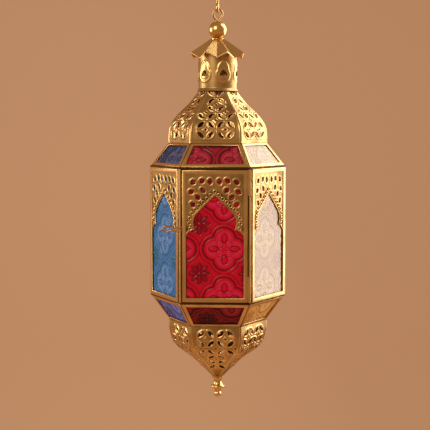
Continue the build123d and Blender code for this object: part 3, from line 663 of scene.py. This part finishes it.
def arc_through(a, b, c, steps):
    """Points of the arc from a to c through b."""
    (ax, ay), (bx, by), (cx, cy) = a, b, c
    d = 2 * (ax * (by - cy) + bx * (cy - ay) + cx * (ay - by))
    aa, bb, cc = ax**2 + ay**2, bx**2 + by**2, cx**2 + cy**2
    ux = (aa * (by - cy) + bb * (cy - ay) + cc * (ay - by)) / d
    uy = (aa * (cx - bx) + bb * (ax - cx) + cc * (bx - ax)) / d
    start, middle, end = (atan2(y - uy, x - ux) for x, y in (a, b, c))
    turn = (end - start) % (2 * pi)
    if (middle - start) % (2 * pi) > turn:
        turn -= 2 * pi
    radius = sqrt((ax - ux) ** 2 + (ay - uy) ** 2)
    angles = [start + turn * k / steps for k in range(steps + 1)]
    return [(ux + radius * cos(angle), uy + radius * sin(angle)) for angle in angles]


def arch_path(half):
    """The arch from its left foot over the point to its right foot, below the top of the window."""
    shares = zip(ARCH_HALF_SHARES, ARCH_DROP_SHARES)
    apex, shoulder, widest, cusp = [(across * half, -down * FRET_HEIGHT) for across, down in shares]
    foot = (half, -FRET_HEIGHT)
    bulge = [(a + b) / 2 + more for a, b, more in zip(cusp, foot, FLARE_BULGE)]
    flare = arc_through(cusp, bulge, foot, FLARE_STEPS)
    right = [apex, *arc_through(shoulder, widest, cusp, ARCH_STEPS), *flare[1:]]
    return [(-x, y) for x, y in right[:0:-1]] + right


def inside_arch(x, y, path):
    """Distance to the arch, negative in its opening."""
    px = np.array([p[0] for p in path] + [path[-1][0], path[0][0]])
    py = np.array([p[1] for p in path] + [FAR_BELOW] * 2)
    inside = np.zeros(np.shape(x), dtype=bool)
    for k in range(len(px)):
        x0, y0, x1, y1 = px[k - 1], py[k - 1], px[k], py[k]
        if y0 != y1:
            inside ^= ((y0 > y) != (y1 > y)) & (x < (x1 - x0) * (y - y0) / (y1 - y0) + x0)
    distance = path_distance(x, y, path)
    return np.where(inside, -distance, distance)


print("arch points:", len(arch_path(HALF_WINDOW)))

# %% Fret sheets
FRET_SHEET = 0.36
FRET_SINK = 0.02
FRET_TUCK = 1.7
FOOT_GAP = 0.05
FRET_CELLS = (133, 138)
DIAMOND = (2.35, 3.05)
DIAMOND_PLACE_SHARES = [
    (0.165, 0.118, 5), (0.44, 0.108, 50), (0.75, 0.128, 52), (0.81, 0.28, 58),
    (0.41, 0.256, -45), (0.59, 0.365, -38), (0.755, 0.48, -48),
]
EYELET_RADIUS, EYELET_SQUASH = 2.75, 0.86
EYELET_RIDGE = (0.2, 0.5, 0.34)
ARCH_ROLL = (0.8, 0.55, 0.3)
OUTER_LINE = (5.6, 0.35, 0.12)
PRESSED_SHARE = 0.9
ROPE_OFFSET = 3.5
ROPE_SHADE = (ROPE_OFFSET, 1.7, 0.3)
FRET_BROWN, MOST_BROWN = 0.52, 0.85
BROWN_LOST = 1.2


def fret(name, half_window, top):
    """One fret with +X outward."""
    path = arch_path(half_window)
    half = half_window + FRET_TUCK

    def nearest(u, v, distance):
        best = np.full(np.shape(u), FAR)
        for across, down, turn in DIAMOND_PLACE_SHARES:
            for sign in (-1, 1):
                local = turned(u - sign * across * half_window, v + down * FRET_HEIGHT, radians(sign * turn))
                best = np.minimum(best, distance(*local))
        return best

    def diamonds(u, v):
        return nearest(u, v, lambda x, y: diamond_distance(x, y, *DIAMOND))

    def eyelets(u, v):
        return nearest(u, v, lambda x, y: np.hypot(x, EYELET_SQUASH * y) - EYELET_RADIUS)

    us = np.linspace(-half, half, FRET_CELLS[0])
    vs = np.linspace(-FRET_HEIGHT + FOOT_GAP, FRET_TUCK, FRET_CELLS[1])
    flat, faces = clipped_grid(us, vs, lambda u, v: np.minimum(inside_arch(u, v, path), diamonds(u, v)))
    u, v = flat[:, 0], flat[:, 1]
    arch = inside_arch(u, v, path)
    inner = np.where(np.abs(u) < half_window, 1.0, 0.0)
    height = bump(eyelets(u, v), *EYELET_RIDGE) + bump(arch, *ARCH_ROLL) + bump(arch, *OUTER_LINE)
    height = height * inner
    points = np.column_stack([SHEET_FRONT + height * PRESSED_SHARE - FRET_SINK, u, top - RAIL + v])
    # Brown on the sheet, less on raised rims, and painted shade under the rope of rings.
    patina_and_shade = np.clip(FRET_BROWN + bump(arch, *ROPE_SHADE) - height * BROWN_LOST, 0, MOST_BROWN)
    return thicken(mesh_object(name, points, faces, {"patina_and_shade": patina_and_shade}), FRET_SHEET)


side_half = (span("side_frame_back", 0)[1] - span("side_frame_back", 0)[0]) / 2 - STILE
door_middle = (DOOR_LEFT + DOOR_RIGHT) / 2
for half, sides in HALVES.items():
    fixed = [side for side in sides if side in FIXED_SIDES]
    side_frets = fret(f"side_frets_{half}", side_half, BODY_TOP)
    ring_of(side_frets, fixed, SHEET_BRASS)
    dress(side_frets, "lantern", "brass", *[f"side_fret_{side}" for side in fixed])
door_fret = fret("door_fret_sheet", HALF_WINDOW, DOOR_TOP)
door_fret.data.transform(Matrix.Translation((0, door_middle * MM, 0)))
ring_of(door_fret, ["front"], SHEET_BRASS)
dress(door_fret, "door", "brass", "door_fret")

# %% [markdown]
# The rope of rings is a rule, not a drawing: one ring, repeated at equal steps along a path that runs
# beside the arch. Geometry Nodes do that: the path becomes a curve, is cut into equal steps, and gets a
# ring at each step, turned to face out of the sheet.

# %% Rope of rings
ROPE_RINGS = 19
RING_RADIUS = 1.48
RING_WIRE = 0.48
ROPE_RISE = 0.3
ROPE_END_SHARE = 0.86


def rope_tree():
    """Geometry Nodes: small rings at equal steps along a path, which is the object's own line of edges."""
    inputs = [("Count", "Int"), ("Ring Radius", "Float"), ("Wire Radius", "Float")]
    tree, given, out = new_tree("rope_of_rings", inputs)
    nodes = tree.nodes
    curve = nodes.new("GeometryNodeMeshToCurve")
    link(tree, given, "Geometry", curve, "Mesh")
    steps = nodes.new("GeometryNodeResampleCurve")
    link(tree, curve, "Curve", steps, "Curve")
    link(tree, given, "Count", steps, "Count")
    ring = nodes.new("GeometryNodeCurvePrimitiveCircle")
    wire = nodes.new("GeometryNodeCurvePrimitiveCircle")
    ring.inputs["Resolution"].default_value = 18
    wire.inputs["Resolution"].default_value = 8
    link(tree, given, "Ring Radius", ring, "Radius")
    link(tree, given, "Wire Radius", wire, "Radius")
    tube = nodes.new("GeometryNodeCurveToMesh")
    link(tree, ring, "Curve", tube, "Curve")
    link(tree, wire, "Curve", tube, "Profile Curve")
    copies = nodes.new("GeometryNodeInstanceOnPoints")
    copies.inputs["Rotation"].default_value = (0, pi / 2, 0)
    link(tree, steps, "Curve", copies, "Points")
    link(tree, tube, "Mesh", copies, "Instance")
    real = nodes.new("GeometryNodeRealizeInstances")
    link(tree, copies, "Instances", real, "Geometry")
    smooth = nodes.new("GeometryNodeSetShadeSmooth")
    link(tree, real, "Geometry", smooth, "Geometry")
    paint = nodes.new("GeometryNodeSetMaterial")
    link(tree, smooth, "Geometry", paint, "Geometry")
    link(tree, given, "Material", paint, "Material")
    link(tree, paint, "Geometry", out, "Geometry")
    return tree


ROPE = rope_tree()


def beside(path, offset):
    """The path moved sideways, away from the arch's opening."""
    p = np.array(path)
    step = np.gradient(p, axis=0)
    normal = np.column_stack([-step[:, 1], step[:, 0]]) / np.hypot(*step.T)[:, None]
    return p + offset * normal


def rope(name, half_window, top, middle):
    """Rings beside the arch of one side, with +X outward."""
    run = beside([p for p in arch_path(half_window) if p[1] > -ROPE_END_SHARE * FRET_HEIGHT], ROPE_OFFSET)
    points = [((SHEET_FRONT + ROPE_RISE) * MM, (middle + x) * MM, (top - RAIL + y) * MM) for x, y in run]
    mesh = bpy.data.meshes.new(name)
    mesh.from_pydata(points, [(k, k + 1) for k in range(len(points) - 1)], [])
    made = add_object(name, mesh)
    modifier = made.modifiers.new("rope", "NODES")
    modifier.node_group = ROPE
    values = {"Count": ROPE_RINGS, "Ring Radius": RING_RADIUS * MM, "Wire Radius": RING_WIRE * MM}
    set_inputs(modifier, ROPE, values | {"Material": RIM_BRASS})
    return plain(made)


def add_only(piece, body):
    """A piece that adds to a CAD node's dressing without standing for a node of its own."""
    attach(piece, body)
    print(piece.name, "added,", len(piece.data.polygons), "faces")


side_rope = rope("side_ropes", side_half, BODY_TOP, 0.0)
ring_of(side_rope, FIXED_SIDES, RIM_BRASS)
add_only(side_rope, "lantern")
door_rope = rope("door_rope", HALF_WINDOW, DOOR_TOP, door_middle)
ring_of(door_rope, ["front"], RIM_BRASS)
add_only(door_rope, "door")

# %% [markdown]
# ## Figured panes
# The mould repeats a square lattice of quatrefoils. Each has a double outline, a field of fine dots, four
# drops and four small rings round its middle; eight-petalled flowers fill the spaces between. All of it
# is one height function of place on the pane, so neighbouring motifs meet without seams, and a collar
# pane can be cut from the same sheet at another spot. An image would give the colours only; the height
# also bends the light at the rim of each line.

# %% Relief of the glass
MOTIF = 42.5
LOBE_OFFSET, LOBE_RADIUS = 8.6, 9.6
OUTLINE_RIDGES = [(0.0, 0.75, -0.42), (1.7, 0.7, 0.06), (3.3, 0.5, -0.30)]
DOT_PITCH, DOT_HEIGHT = 1.9, 0.28
DROP_OFFSET, DROP, DROP_LINE = 9.2, (7.6, 4.2), (0.3, 0.45, -0.34)
RINGLET_OFFSET, RINGLET_LINE = 3.9, (2.9, 0.45, -0.28)
FIELD_INSET, FIELD_CLEAR, FIELD_SOFT = 2.8, 0.9, 0.2
PETALS, PETAL_OFFSET, PETAL, PETAL_LINE = 8, 5.4, (7.4, 3.0), (0.0, 0.45, -0.36)
FLOWER_EYE = (0, 0.8, 0.25)
LOWEST, HIGHEST = -0.45, 0.3
FIELD_TONE = 0.12
OUTLINE_TONE = (0.8, 1.1, 0.12)
FLOWER_TONE, FLOWER_RADIUS = 0.2, 9.5


def in_motif(x):
    """A place within the motif that it falls in, from its middle."""
    return (x + MOTIF / 2) % MOTIF - MOTIF / 2


def quatrefoil(x, y):
    """Distance outside the nearest quatrefoil."""
    qx, qy = in_motif(x), in_motif(y)
    angles = [k * pi / 2 for k in range(4)]
    lobes = [np.hypot(qx - LOBE_OFFSET * cos(a), qy - LOBE_OFFSET * sin(a)) for a in angles]
    return np.minimum.reduce(lobes) - LOBE_RADIUS


def figured(x, y):
    """Height of the mould, in millimetres, about zero, and how much paler or deeper the glass looks there."""
    qx, qy = in_motif(x), in_motif(y)
    edge = quatrefoil(x, y)
    height = sum(bump(edge, *ridge) for ridge in OUTLINE_RIDGES)
    dots = np.maximum(0, np.sin(pi * (x + y) / DOT_PITCH) * np.sin(pi * (x - y) / DOT_PITCH))
    drops = np.full(np.shape(x), FAR)
    for k in range(4):
        dx, dy = turned(qx, qy, k * pi / 2)
        drops = np.minimum(drops, leaf_distance(dx - DROP_OFFSET, dy, *DROP))
        height += bump(np.hypot(dx - RINGLET_OFFSET, dy - RINGLET_OFFSET), *RINGLET_LINE)
    field = fade(edge + FIELD_INSET, FIELD_SOFT) * fade(FIELD_CLEAR - drops, FIELD_SOFT)
    height += DOT_HEIGHT * dots * field + bump(drops, *DROP_LINE)
    fx, fy = x % MOTIF - MOTIF / 2, y % MOTIF - MOTIF / 2
    for k in range(PETALS):
        px, py = turned(fx, fy, 2 * pi * k / PETALS)
        height += bump(leaf_distance(px - PETAL_OFFSET, py, *PETAL), *PETAL_LINE)
    from_eye = np.hypot(fx, fy)
    height += bump(from_eye, *FLOWER_EYE)
    flower = FLOWER_TONE * np.exp(-((from_eye / FLOWER_RADIUS) ** 4))
    tone = FIELD_TONE * field - bump(edge, *OUTLINE_TONE) - flower
    return np.clip(height, LOWEST, HIGHEST), tone


print("motif", MOTIF, "mm, with", PETALS, "petals in a flower")

# %% [markdown]
# A pane is a slab: a grid with the relief on its outer face, a shallow echo of it on the inner one, and a
# wall round the rim. The relief dies away in the groove of the bars, and the tone darkens there and
# behind a fret, where little light comes through.

# %% Panes
GROOVE = 1.75
FACE_SINK = 0.36
BACK_RISE = 0.1
ECHO_SHARE = 0.15
SHADOW_WIDTH, SHADOW_TONE = 1.4, 0.3
FRET_SHADOW_INSET = 0.4
PANE_CELLS = (116, 236)


def slab(name, levels, front, depth, place, spot, cells, material, scale, covered=None):
    """A pane with relief on its outer face.

    levels are (level, half width) below and above, place(u, v, d) gives points, and covered(u, v) is one
    where a fret hides the pane.
    """
    (low, half_low), (high, half_high) = levels
    nu, nv = cells
    t, s = np.meshgrid(np.linspace(-1, 1, nu), np.linspace(0, 1, nv), indexing="ij")
    t, s = t.ravel(), s.ravel()
    v = low + s * (high - low)
    u = t * (half_low + s * (half_high - half_low))
    from_edge = np.minimum((1 - np.abs(t)) * min(half_low, half_high), np.minimum(s, 1 - s) * (high - low))
    shadow = np.clip((GROOVE + SHADOW_WIDTH - from_edge) / SHADOW_WIDTH, 0, 1)
    if covered:
        shadow = np.maximum(shadow, covered(u, v))
    figure, tone = figured(u + spot[0], v + spot[1])
    figure = figure * np.clip(from_edge / GROOVE, 0, 1)
    outer = place(u, v, front - FACE_SINK + figure * scale)
    inner = place(u, v, front - depth + BACK_RISE + ECHO_SHARE * figure)
    index = np.arange(nu * nv).reshape(nu, nv)
    count = nu * nv
    corners = [index[:-1, :-1], index[1:, :-1], index[1:, 1:], index[:-1, 1:]]
    quads = np.stack(corners, axis=-1).reshape(-1, 4)
    border = np.concatenate([index[:, 0], index[-1, 1:], index[-2::-1, -1], index[0, -2:0:-1]])
    walls = np.column_stack([border, border + count, np.roll(border, -1) + count, np.roll(border, -1)])
    faces = np.vstack([quads, walls, quads[:, ::-1] + count]).tolist()
    # The outer face's relief also carries painted shade: darker in the bars' groove and behind a fret.
    relief = np.concatenate([figure + tone - SHADOW_TONE * shadow, figure])
    made = mesh_object(name, np.vstack([outer, inner]), faces, {"relief": relief})
    made.data.materials.append(material)
    return made


def upright(azimuth_angle, middle):
    """Places points of an upright pane on a side."""
    c, s = cos(azimuth_angle), sin(azimuth_angle)

    def place(u, v, d):
        w = u + middle
        return np.column_stack([d * c - w * s, d * s + w * c, v])

    return place


GLASS_SPOT = {"front": (-8.2, 67.3), "front_left": (0.0, 58.0), "front_right": (6.0, 60.0)}
BACK_SPOT = (3.0, 40.0)
for side in SIDES:
    node = "door_glass" if side == "front" else f"side_glass_{side}"
    low, high = span(node, 2)
    half_window = HALF_WINDOW if side == "front" else side_half
    half = half_window + GROOVE
    middle = door_middle if side == "front" else 0.0
    across, down = GLASS_SPOT.get(side, BACK_SPOT)
    spot = (across, down - DOOR_TOP)
    colour = GLASS_OF[side]
    arch = arch_path(half_window)
    window_top = (DOOR_TOP if side == "front" else BODY_TOP) - RAIL
    pane = slab(
        f"pane_{side}", ((low, half), (high, half)), GLASS_FRONT, GLASS_FRONT - GLASS_BACK,
        upright(azimuth(side), middle), spot, PANE_CELLS, GLASS[colour], RELIEF[colour],
        lambda u, v: np.where(inside_arch(u, v - window_top, arch) > FRET_SHADOW_INSET, 1.0, 0.0),
    )
    dress(pane, "door" if side == "front" else "lantern", f"glass_{colour}", node)

# %% [markdown]
# Collar panes lie on a slope. The slope is taken from the collar's CAD frame and its two corner radii, so
# the same slab builder makes them with a slanting placement. Each pane is cut from the figured sheet a
# step further on than the last.

# %% Collar panes
COLLAR_RADIUS = 60.0
PANE_INSET = 1.7
PANE_FRONT = -0.6
PANE_DEPTH = 1.65
COLLAR_CELLS = (118, 56)
UPPER_SPOT, UPPER_STEP = (21.0, -9.0), 11
LOWER_SPOT, LOWER_STEP = (-14.0, 14.0), 9


def collar_face(node, low_radius, high_radius):
    """A collar's slope with +X outward: foot, direction up it, direction out of it, length, half widths."""
    low, high = span(node, 2)
    start = np.array([low_radius * MIDDLE_SHARE, low])
    run = np.array([high_radius * MIDDLE_SHARE, high]) - start
    length = np.hypot(*run)
    run = run / length
    halves = (low_radius * HALF_SIDE_SHARE, high_radius * HALF_SIDE_SHARE)
    return start, run, np.array([run[1], -run[0]]), length, halves


def on_slope(face, angle):
    """Places points of a collar: across, up the slope, and out of it."""
    start, run, normal, _, _ = face
    c, s = cos(angle), sin(angle)

    def place(u, v, d):
        x = start[0] + run[0] * v + normal[0] * d
        z = start[1] + run[1] * v + normal[1] * d
        return np.column_stack([x * c - u * s, x * s + u * c, z])

    return place


UPPER_FACE = collar_face("upper_collar_frames", COLLAR_RADIUS, DOME_RADIUS)
LOWER_FACE = collar_face("lower_collar_frames", DOME_RADIUS, COLLAR_RADIUS)


def collar_pane(node, face, side, spot, glasses):
    """A pane with relief in the place of a collar's CAD pane."""
    colour = GLASS_OF[side]
    _, _, _, length, (half_low, half_high) = face
    inset = PANE_INSET / length
    slope = half_high - half_low
    levels = [(share * length, half_low + share * slope - PANE_INSET) for share in (inset, 1 - inset)]
    place = on_slope(face, azimuth(side))
    made = slab(
        f"pane_{node}", levels, PANE_FRONT, PANE_DEPTH, place, spot, COLLAR_CELLS,
        glasses[colour], RELIEF[colour],
    )
    dress(made, "lantern", f"glass_{colour}", node)


for n, side in enumerate(SIDES):
    upper_spot = (UPPER_SPOT[0] + n * UPPER_STEP, UPPER_SPOT[1])
    lower_spot = (LOWER_SPOT[0] + n * LOWER_STEP, LOWER_SPOT[1])
    collar_pane(f"upper_glass_{side}", UPPER_FACE, side, upper_spot, UPPER_GLASS_PAINTED_SHADE)
    collar_pane(f"lower_glass_{side}", LOWER_FACE, side, lower_spot, LOWER_GLASS_PAINTED_SHADE)

# %% [markdown]
# ## Folded frames
# The bars round the panes are strips of brass folded into a channel: a rounded outer fold, a flat face,
# and a slot with a lip that holds the glass. A bevel modifier would round the corners but not fold the
# slot. So one cross-section is swept round the window instead, and each corner is mitred by drawing the
# outline in, edge by edge.

# %% Frame bars
FOLD_OUTLINE = [
    (0.0, -0.55), (0.03, -0.25), (0.08, -0.08), (0.16, 0.0), (0.86, 0.0), (0.95, -0.1), (1.0, -0.3),
]
LIP = 0.6
PANEL_SLOT_SHARE = 0.45
BACK_FOLD_SHARE = 0.02
FOLD_SHADE, FACE_BROWN = 1.0, 0.05
BAR_SMOOTH_BELOW = 35
FACE = -span("door_frame", 1)[0]
PANEL_DEPTH = FACE + span("door_frame", 1)[1]


def drawn_in(corners, amounts):
    """A polygon with each edge moved inward by its own amount."""
    lines = []
    for k, start in enumerate(corners):
        run = np.subtract(corners[(k + 1) % len(corners)], start)
        run = run / np.hypot(*run)
        lines.append((np.add(start, amounts[k] * np.array([-run[1], run[0]])), run))
    made = []
    for (p, r), (q, t) in zip([lines[-1], *lines[:-1]], lines):
        gap = q - p
        made.append(p + r * (gap[0] * t[1] - gap[1] * t[0]) / (r[0] * t[1] - r[1] * t[0]))
    return np.array(made)


def channel(depth, slot):
    """Cross-section of a bar as (share of its width, depth): fold, flat, lip, and the slot for the glass."""
    glass_slot = [(1.0, -LIP), (slot, -LIP), (slot, LIP - depth), (1.0, LIP - depth)]
    return [(0.0, -depth), *FOLD_OUTLINE, *glass_slot, (1.0, -depth)]


def bar_frame(name, corners, widths, section, place):
    """A mitred frame: the section swept round the corners, counted anticlockwise seen from outside."""
    rings = [drawn_in(corners, [share * width for width in widths]) for share, _ in section]
    depths = [np.full(len(corners), depth) for _, depth in section]
    points = np.vstack([place(ring[:, 0], ring[:, 1], depth) for ring, depth in zip(rings, depths)])
    count = len(corners)
    faces = []
    for j in range(len(section)):
        after = (j + 1) % len(section)
        for k in range(count):
            ahead = (k + 1) % count
            faces.append((j * count + k, j * count + ahead, after * count + ahead, after * count + k))
    # Painted shade: the back fold, which turns into the seam between bars, is fully brown; the face only a
    # little.
    brown = [FOLD_SHADE if share < BACK_FOLD_SHARE else FACE_BROWN for share, _ in section]
    return mesh_object(name, points, faces, {"patina_and_shade": np.repeat(brown, count)}, sharp=BAR_SMOOTH_BELOW)


def panel_frame(name, left, right, low, high):
    """The channel frame of an upright panel with +X outward."""
    corners = [(left, low), (right, low), (right, high), (left, high)]
    section = channel(PANEL_DEPTH, PANEL_SLOT_SHARE)

    def place(u, v, d):
        return np.column_stack([FACE + d, u, v])

    return bar_frame(name, corners, (RAIL, STILE, RAIL, STILE), section, place)


side_frames = panel_frame("side_frames", -side_half - STILE, side_half + STILE, BODY_BOTTOM, BODY_TOP)
ring_of(side_frames, FIXED_SIDES, FRAME_BRASS)
dress(side_frames, "lantern", "brass", *[f"side_frame_{side}" for side in FIXED_SIDES])
door_frame = panel_frame("door_bars", DOOR_LEFT, DOOR_RIGHT, DOOR_BOTTOM, DOOR_TOP)
ring_of(door_frame, ["front"], FRAME_BRASS)
dress(door_frame, "door", "brass", "door_frame")

# %% [markdown]
# The collar's frames are the same bars on a slope. They stand a little apart, so a dark seam shows
# between neighbours and along the body; next to the dome the seam is closed.

# %% Collar bars
SEAM = 0.55
CLOSED_SEAM = 0.05
COLLAR_SIDE = 3.6
COLLAR_NARROW_RAIL = 2.4
COLLAR_DEPTH = 2.4
COLLAR_SLOT_SHARE = 0.55


def collar_bars(name, face, low_bar, high_bar, low_seam, high_seam):
    """Six slanting frames with dark seams round them."""
    _, _, _, length, (half_low, half_high) = face
    outline = [(-half_low, 0), (half_low, 0), (half_high, length), (-half_high, length)]
    corners = drawn_in(outline, (low_seam, SEAM, high_seam, SEAM))
    side_bar = COLLAR_SIDE - SEAM
    widths = (low_bar - low_seam, side_bar, high_bar - high_seam, side_bar)
    section = channel(COLLAR_DEPTH, COLLAR_SLOT_SHARE)
    made = bar_frame(name, corners, widths, section, on_slope(face, 0.0))
    return ring_of(made, SIDES, FRAME_BRASS)


upper_bars = collar_bars("upper_bars", UPPER_FACE, RAIL, COLLAR_NARROW_RAIL, SEAM, CLOSED_SEAM)
dress(upper_bars, "lantern", "brass", "upper_collar_frames")
lower_bars = collar_bars("lower_bars", LOWER_FACE, COLLAR_NARROW_RAIL, RAIL, CLOSED_SEAM, SEAM)
dress(lower_bars, "lantern", "brass", "lower_collar_frames")

# %% [markdown]
# ## Neck
# The neck is a rolled tube with six onion-shaped bosses beaten out from behind, each with a spade-shaped
# vent in it. It is the same sheet builder, wrapped round a cylinder instead of bent.

# %% Neck tube
NECK_RADIUS = 17.0
NECK_SHEET = 0.8
NECK_SINK = 0.1
NECK_CELLS = (289, 84)
NECK_FLARE, NECK_FLARE_HEIGHT = 1.3, 2.4
NECK_BROWN = 0.4
BEATEN_SHARE = 0.8
VENT_TURN = 20
VENT_LEVEL = NECK_TOP - 16.4
VENT_WIDTH, VENT_HEIGHT = 7.0, 5.4
VENT_RIM = (0.3, 0.6, 0.2)
ONION_DROP, ONION_RADIUS = 1.8, 6.1
ONION_TIP_RISE, ONION_TIP = 2.4, (15.6, 9.4)
ONION_RIDGE = (0.0, 0.75, 0.5)
ONION_RISE, ONION_SOFT = 0.25, 0.6
LEDGE, LEDGE_HALF, LEDGE_SOFT = (-4.2, 1.3, 0.5), 2.8, 0.5
WELD = 0.01


def onion_distance(x, y):
    """Distance outside an onion: round below, drawn to a point above."""
    round_part = np.hypot(x, y + ONION_DROP) - ONION_RADIUS
    tip = leaf_distance(y - ONION_TIP_RISE, x, *ONION_TIP)
    return np.minimum(round_part, tip)


def spade_distance(x, y):
    """Distance outside the vent: a flat-footed pointed arch."""
    foot = -VENT_HEIGHT / 2
    sides = leaf_distance(y - foot, x, 2 * VENT_HEIGHT, VENT_WIDTH)
    return np.maximum(sides, foot - y)


def neck_tube():
    """The neck: a flat sheet with six bosses and vents, rolled up and welded along its seam."""
    turn = 2 * pi * NECK_RADIUS
    step = turn / len(SIDES)

    def from_vent(u, v):
        across = (u - radians(FRONT + VENT_TURN) * NECK_RADIUS + step / 2) % step - step / 2
        return across, v - VENT_LEVEL

    us = np.linspace(0, turn, NECK_CELLS[0])
    vs = np.linspace(NECK_FOOT, NECK_TOP, NECK_CELLS[1])
    flat, faces = clipped_grid(us, vs, lambda u, v: spade_distance(*from_vent(u, v)))
    u, v = flat[:, 0], flat[:, 1]
    across, up = from_vent(u, v)
    onion = onion_distance(across, up)
    height = bump(onion, *ONION_RIDGE) + ONION_RISE * fade(onion, ONION_SOFT)
    height += bump(spade_distance(across, up), *VENT_RIM)
    height += bump(up, *LEDGE) * fade(np.abs(across) - LEDGE_HALF, LEDGE_SOFT)
    flare = NECK_FLARE * np.clip(1 - (v - NECK_FOOT) / NECK_FLARE_HEIGHT, 0, 1)
    radius = NECK_RADIUS - NECK_SINK + flare + height * BEATEN_SHARE
    points = np.column_stack([radius * np.cos(u / NECK_RADIUS), radius * np.sin(u / NECK_RADIUS), v])
    # Brown on the flat sheet and less on the bosses, as patina and painted shade.
    patina_and_shade = np.clip(NECK_BROWN - height, 0, NECK_BROWN)
    made = mesh_object("neck_tube", points, faces, {"patina_and_shade": patina_and_shade})
    weld = made.modifiers.new("seam", "WELD")
    weld.merge_threshold = WELD * MM
    plain(made)
    thicken(made, NECK_SHEET)
    made.data.materials.clear()
    made.data.materials.append(SHEET_BRASS)
    return made


neck = neck_tube()
dress(neck, "lantern", "brass", "neck")

# %% [markdown]
# ## Metal that stays as measured
# Wires, ball, cap, finial, posts, rings, hinge and the floor's parts keep their CAD solids, which already
# have their true shape. They only need a brass: the cap, ball and finial a polished one, the wires a
# darker one, and the rings and the floor plate a near-black brass that is painted shade, since they show
# only inside and in the seams. The rest get the frames' brass, soldered and wiped.

# %% Paint the CAD nodes
WIRES = {"hanging_hook", "hanging_loop", "door_pull", "hinge_pin"}
# The rings and the floor plate get painted shade: a near-black brass.
SHADE_PAINTED_PARTS = {"upper_ring", "lower_ring", "floor_plate"}
POLISHED = {"pleated_cap", "ball", "finial"}
METAL_OF = {name: WIRE_BRASS for name in WIRES}
METAL_OF |= {name: SHADE_PAINTED_BRASS for name in SHADE_PAINTED_PARTS}
METAL_OF |= {name: POLISHED_BRASS for name in POLISHED}
for name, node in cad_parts.items():
    if "glass" not in name:
        node.data.materials.clear()
        node.data.materials.append(METAL_OF.get(name, FRAME_BRASS))
print("CAD nodes with a brass of their own:", len(METAL_OF))

# %% [markdown]
# ## Room, light and camera
# A big soft light behind the right shoulder of the lantern makes the right-hand pane pale: it stands
# where that pane mirrors it into the lens. A small high one beside it lights the slopes, a weak one on
# the left draws the edges, and a dim warm front light keeps the brass brown-gold. The room is one plain
# warm tone, which the metal mirrors on all sides, and the backdrop is a tan wall that curves into the
# floor, so it has no corner line.

# %% Lights
LANTERN_MIDDLE = Vector((0, 0, -0.22))
LIGHTS = [
    ("window_right", 36, 1.3, 0.06, 1.35, 21, (1.0, 0.97, 0.92)),
    ("window_high", 15, 1.1, 0.95, 0.6, 7, (1.0, 0.98, 0.95)),
    ("window_left", 176, 1.5, 0.0, 0.6, 8, (1.0, 0.97, 0.93)),
    ("front_fill", -120, 1.8, 0.7, 0.9, 13, (1.0, 0.92, 0.82)),
]


def area_light(name, azimuth_degrees, distance, height, size, power, colour):
    """A soft square light that faces the lantern's middle: metres, watts and degrees round from the right."""
    lamp = bpy.data.lights.new(name, "AREA")
    lamp.shape = "SQUARE"
    lamp.size = size
    lamp.energy = power
    lamp.color = colour
    made = add_object(name, lamp)
    angle = radians(azimuth_degrees)
    made.location = (distance * cos(angle), distance * sin(angle), height)
    made.rotation_euler = (LANTERN_MIDDLE - made.location).to_track_quat("-Z", "Y").to_euler()


for light in LIGHTS:
    area_light(*light)
world = bpy.data.worlds.new("room")
bpy.context.scene.world = world
world.use_nodes = True
room = world.node_tree
room.nodes["Background"].inputs["Color"].default_value = (0.34, 0.23, 0.15, 1)
room.nodes["Background"].inputs["Strength"].default_value = 1.0
print("lights:", ", ".join(light[0] for light in LIGHTS))

# %% Backdrop
WALL_OUTLINE = [(2.2, 4.0), (2.2, -0.8), (2.1, -1.2), (1.8, -1.5), (1.4, -1.6), (-6.0, -1.6)]
WALL_HALF = 7.0
wall_material = bpy.data.materials.new("tan_wall")
wall_material.use_nodes = True
wall_shader = wall_material.node_tree.nodes["Principled BSDF"]
wall_shader.inputs["Base Color"].default_value = (0.50, 0.31, 0.185, 1)
wall_shader.inputs["Roughness"].default_value = 0.9
wall_shader.inputs["Emission Color"].default_value = (0.57, 0.32, 0.175, 1)
wall_shader.inputs["Emission Strength"].default_value = 0.33
wall_points = [(x, y, z) for y, z in WALL_OUTLINE for x in (-WALL_HALF, WALL_HALF)]
wall_faces = [(2 * k, 2 * k + 2, 2 * k + 3, 2 * k + 1) for k in range(len(WALL_OUTLINE) - 1)]
wall = mesh_object("backdrop", np.array(wall_points) / MM, wall_faces, sharp=None)
wall.data.materials.append(wall_material)
wall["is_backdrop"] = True
print("backdrop faces:", len(wall_faces))

# %% [markdown]
# The camera was found by fitting the corners of the three hexagons in the picture: a long lens about a
# metre away, looking down by about five degrees, a little to the right of the door's own axis.

# %% Camera
EYE_LEVEL = -138.5
DISTANCE = 985.6
YAW = 2.54
PITCH = 4.88
SENSOR = 36.0
PICTURE_PIXELS = 430
FOCAL_PIXELS = 1105.3
SHIFT_PIXELS = -2.64
camera = bpy.data.cameras.new("camera")
camera.sensor_width = SENSOR
camera.lens = FOCAL_PIXELS * SENSOR / PICTURE_PIXELS
camera.shift_x = SHIFT_PIXELS / PICTURE_PIXELS
camera_object = add_object("camera", camera)
yaw = radians(YAW)
camera_object.location = (DISTANCE * sin(yaw) * MM, -DISTANCE * cos(yaw) * MM, EYE_LEVEL * MM)
camera_object.rotation_euler = (radians(90 - PITCH), 0, yaw)
bpy.context.scene.camera = camera_object
bpy.context.scene.view_settings.view_transform = "Standard"
print("lens", round(camera.lens, 1), "mm")

# %% Sizes for the record
low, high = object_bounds()
print("visual height", round((high[2] - low[2]) * 1000, 1), "mm")
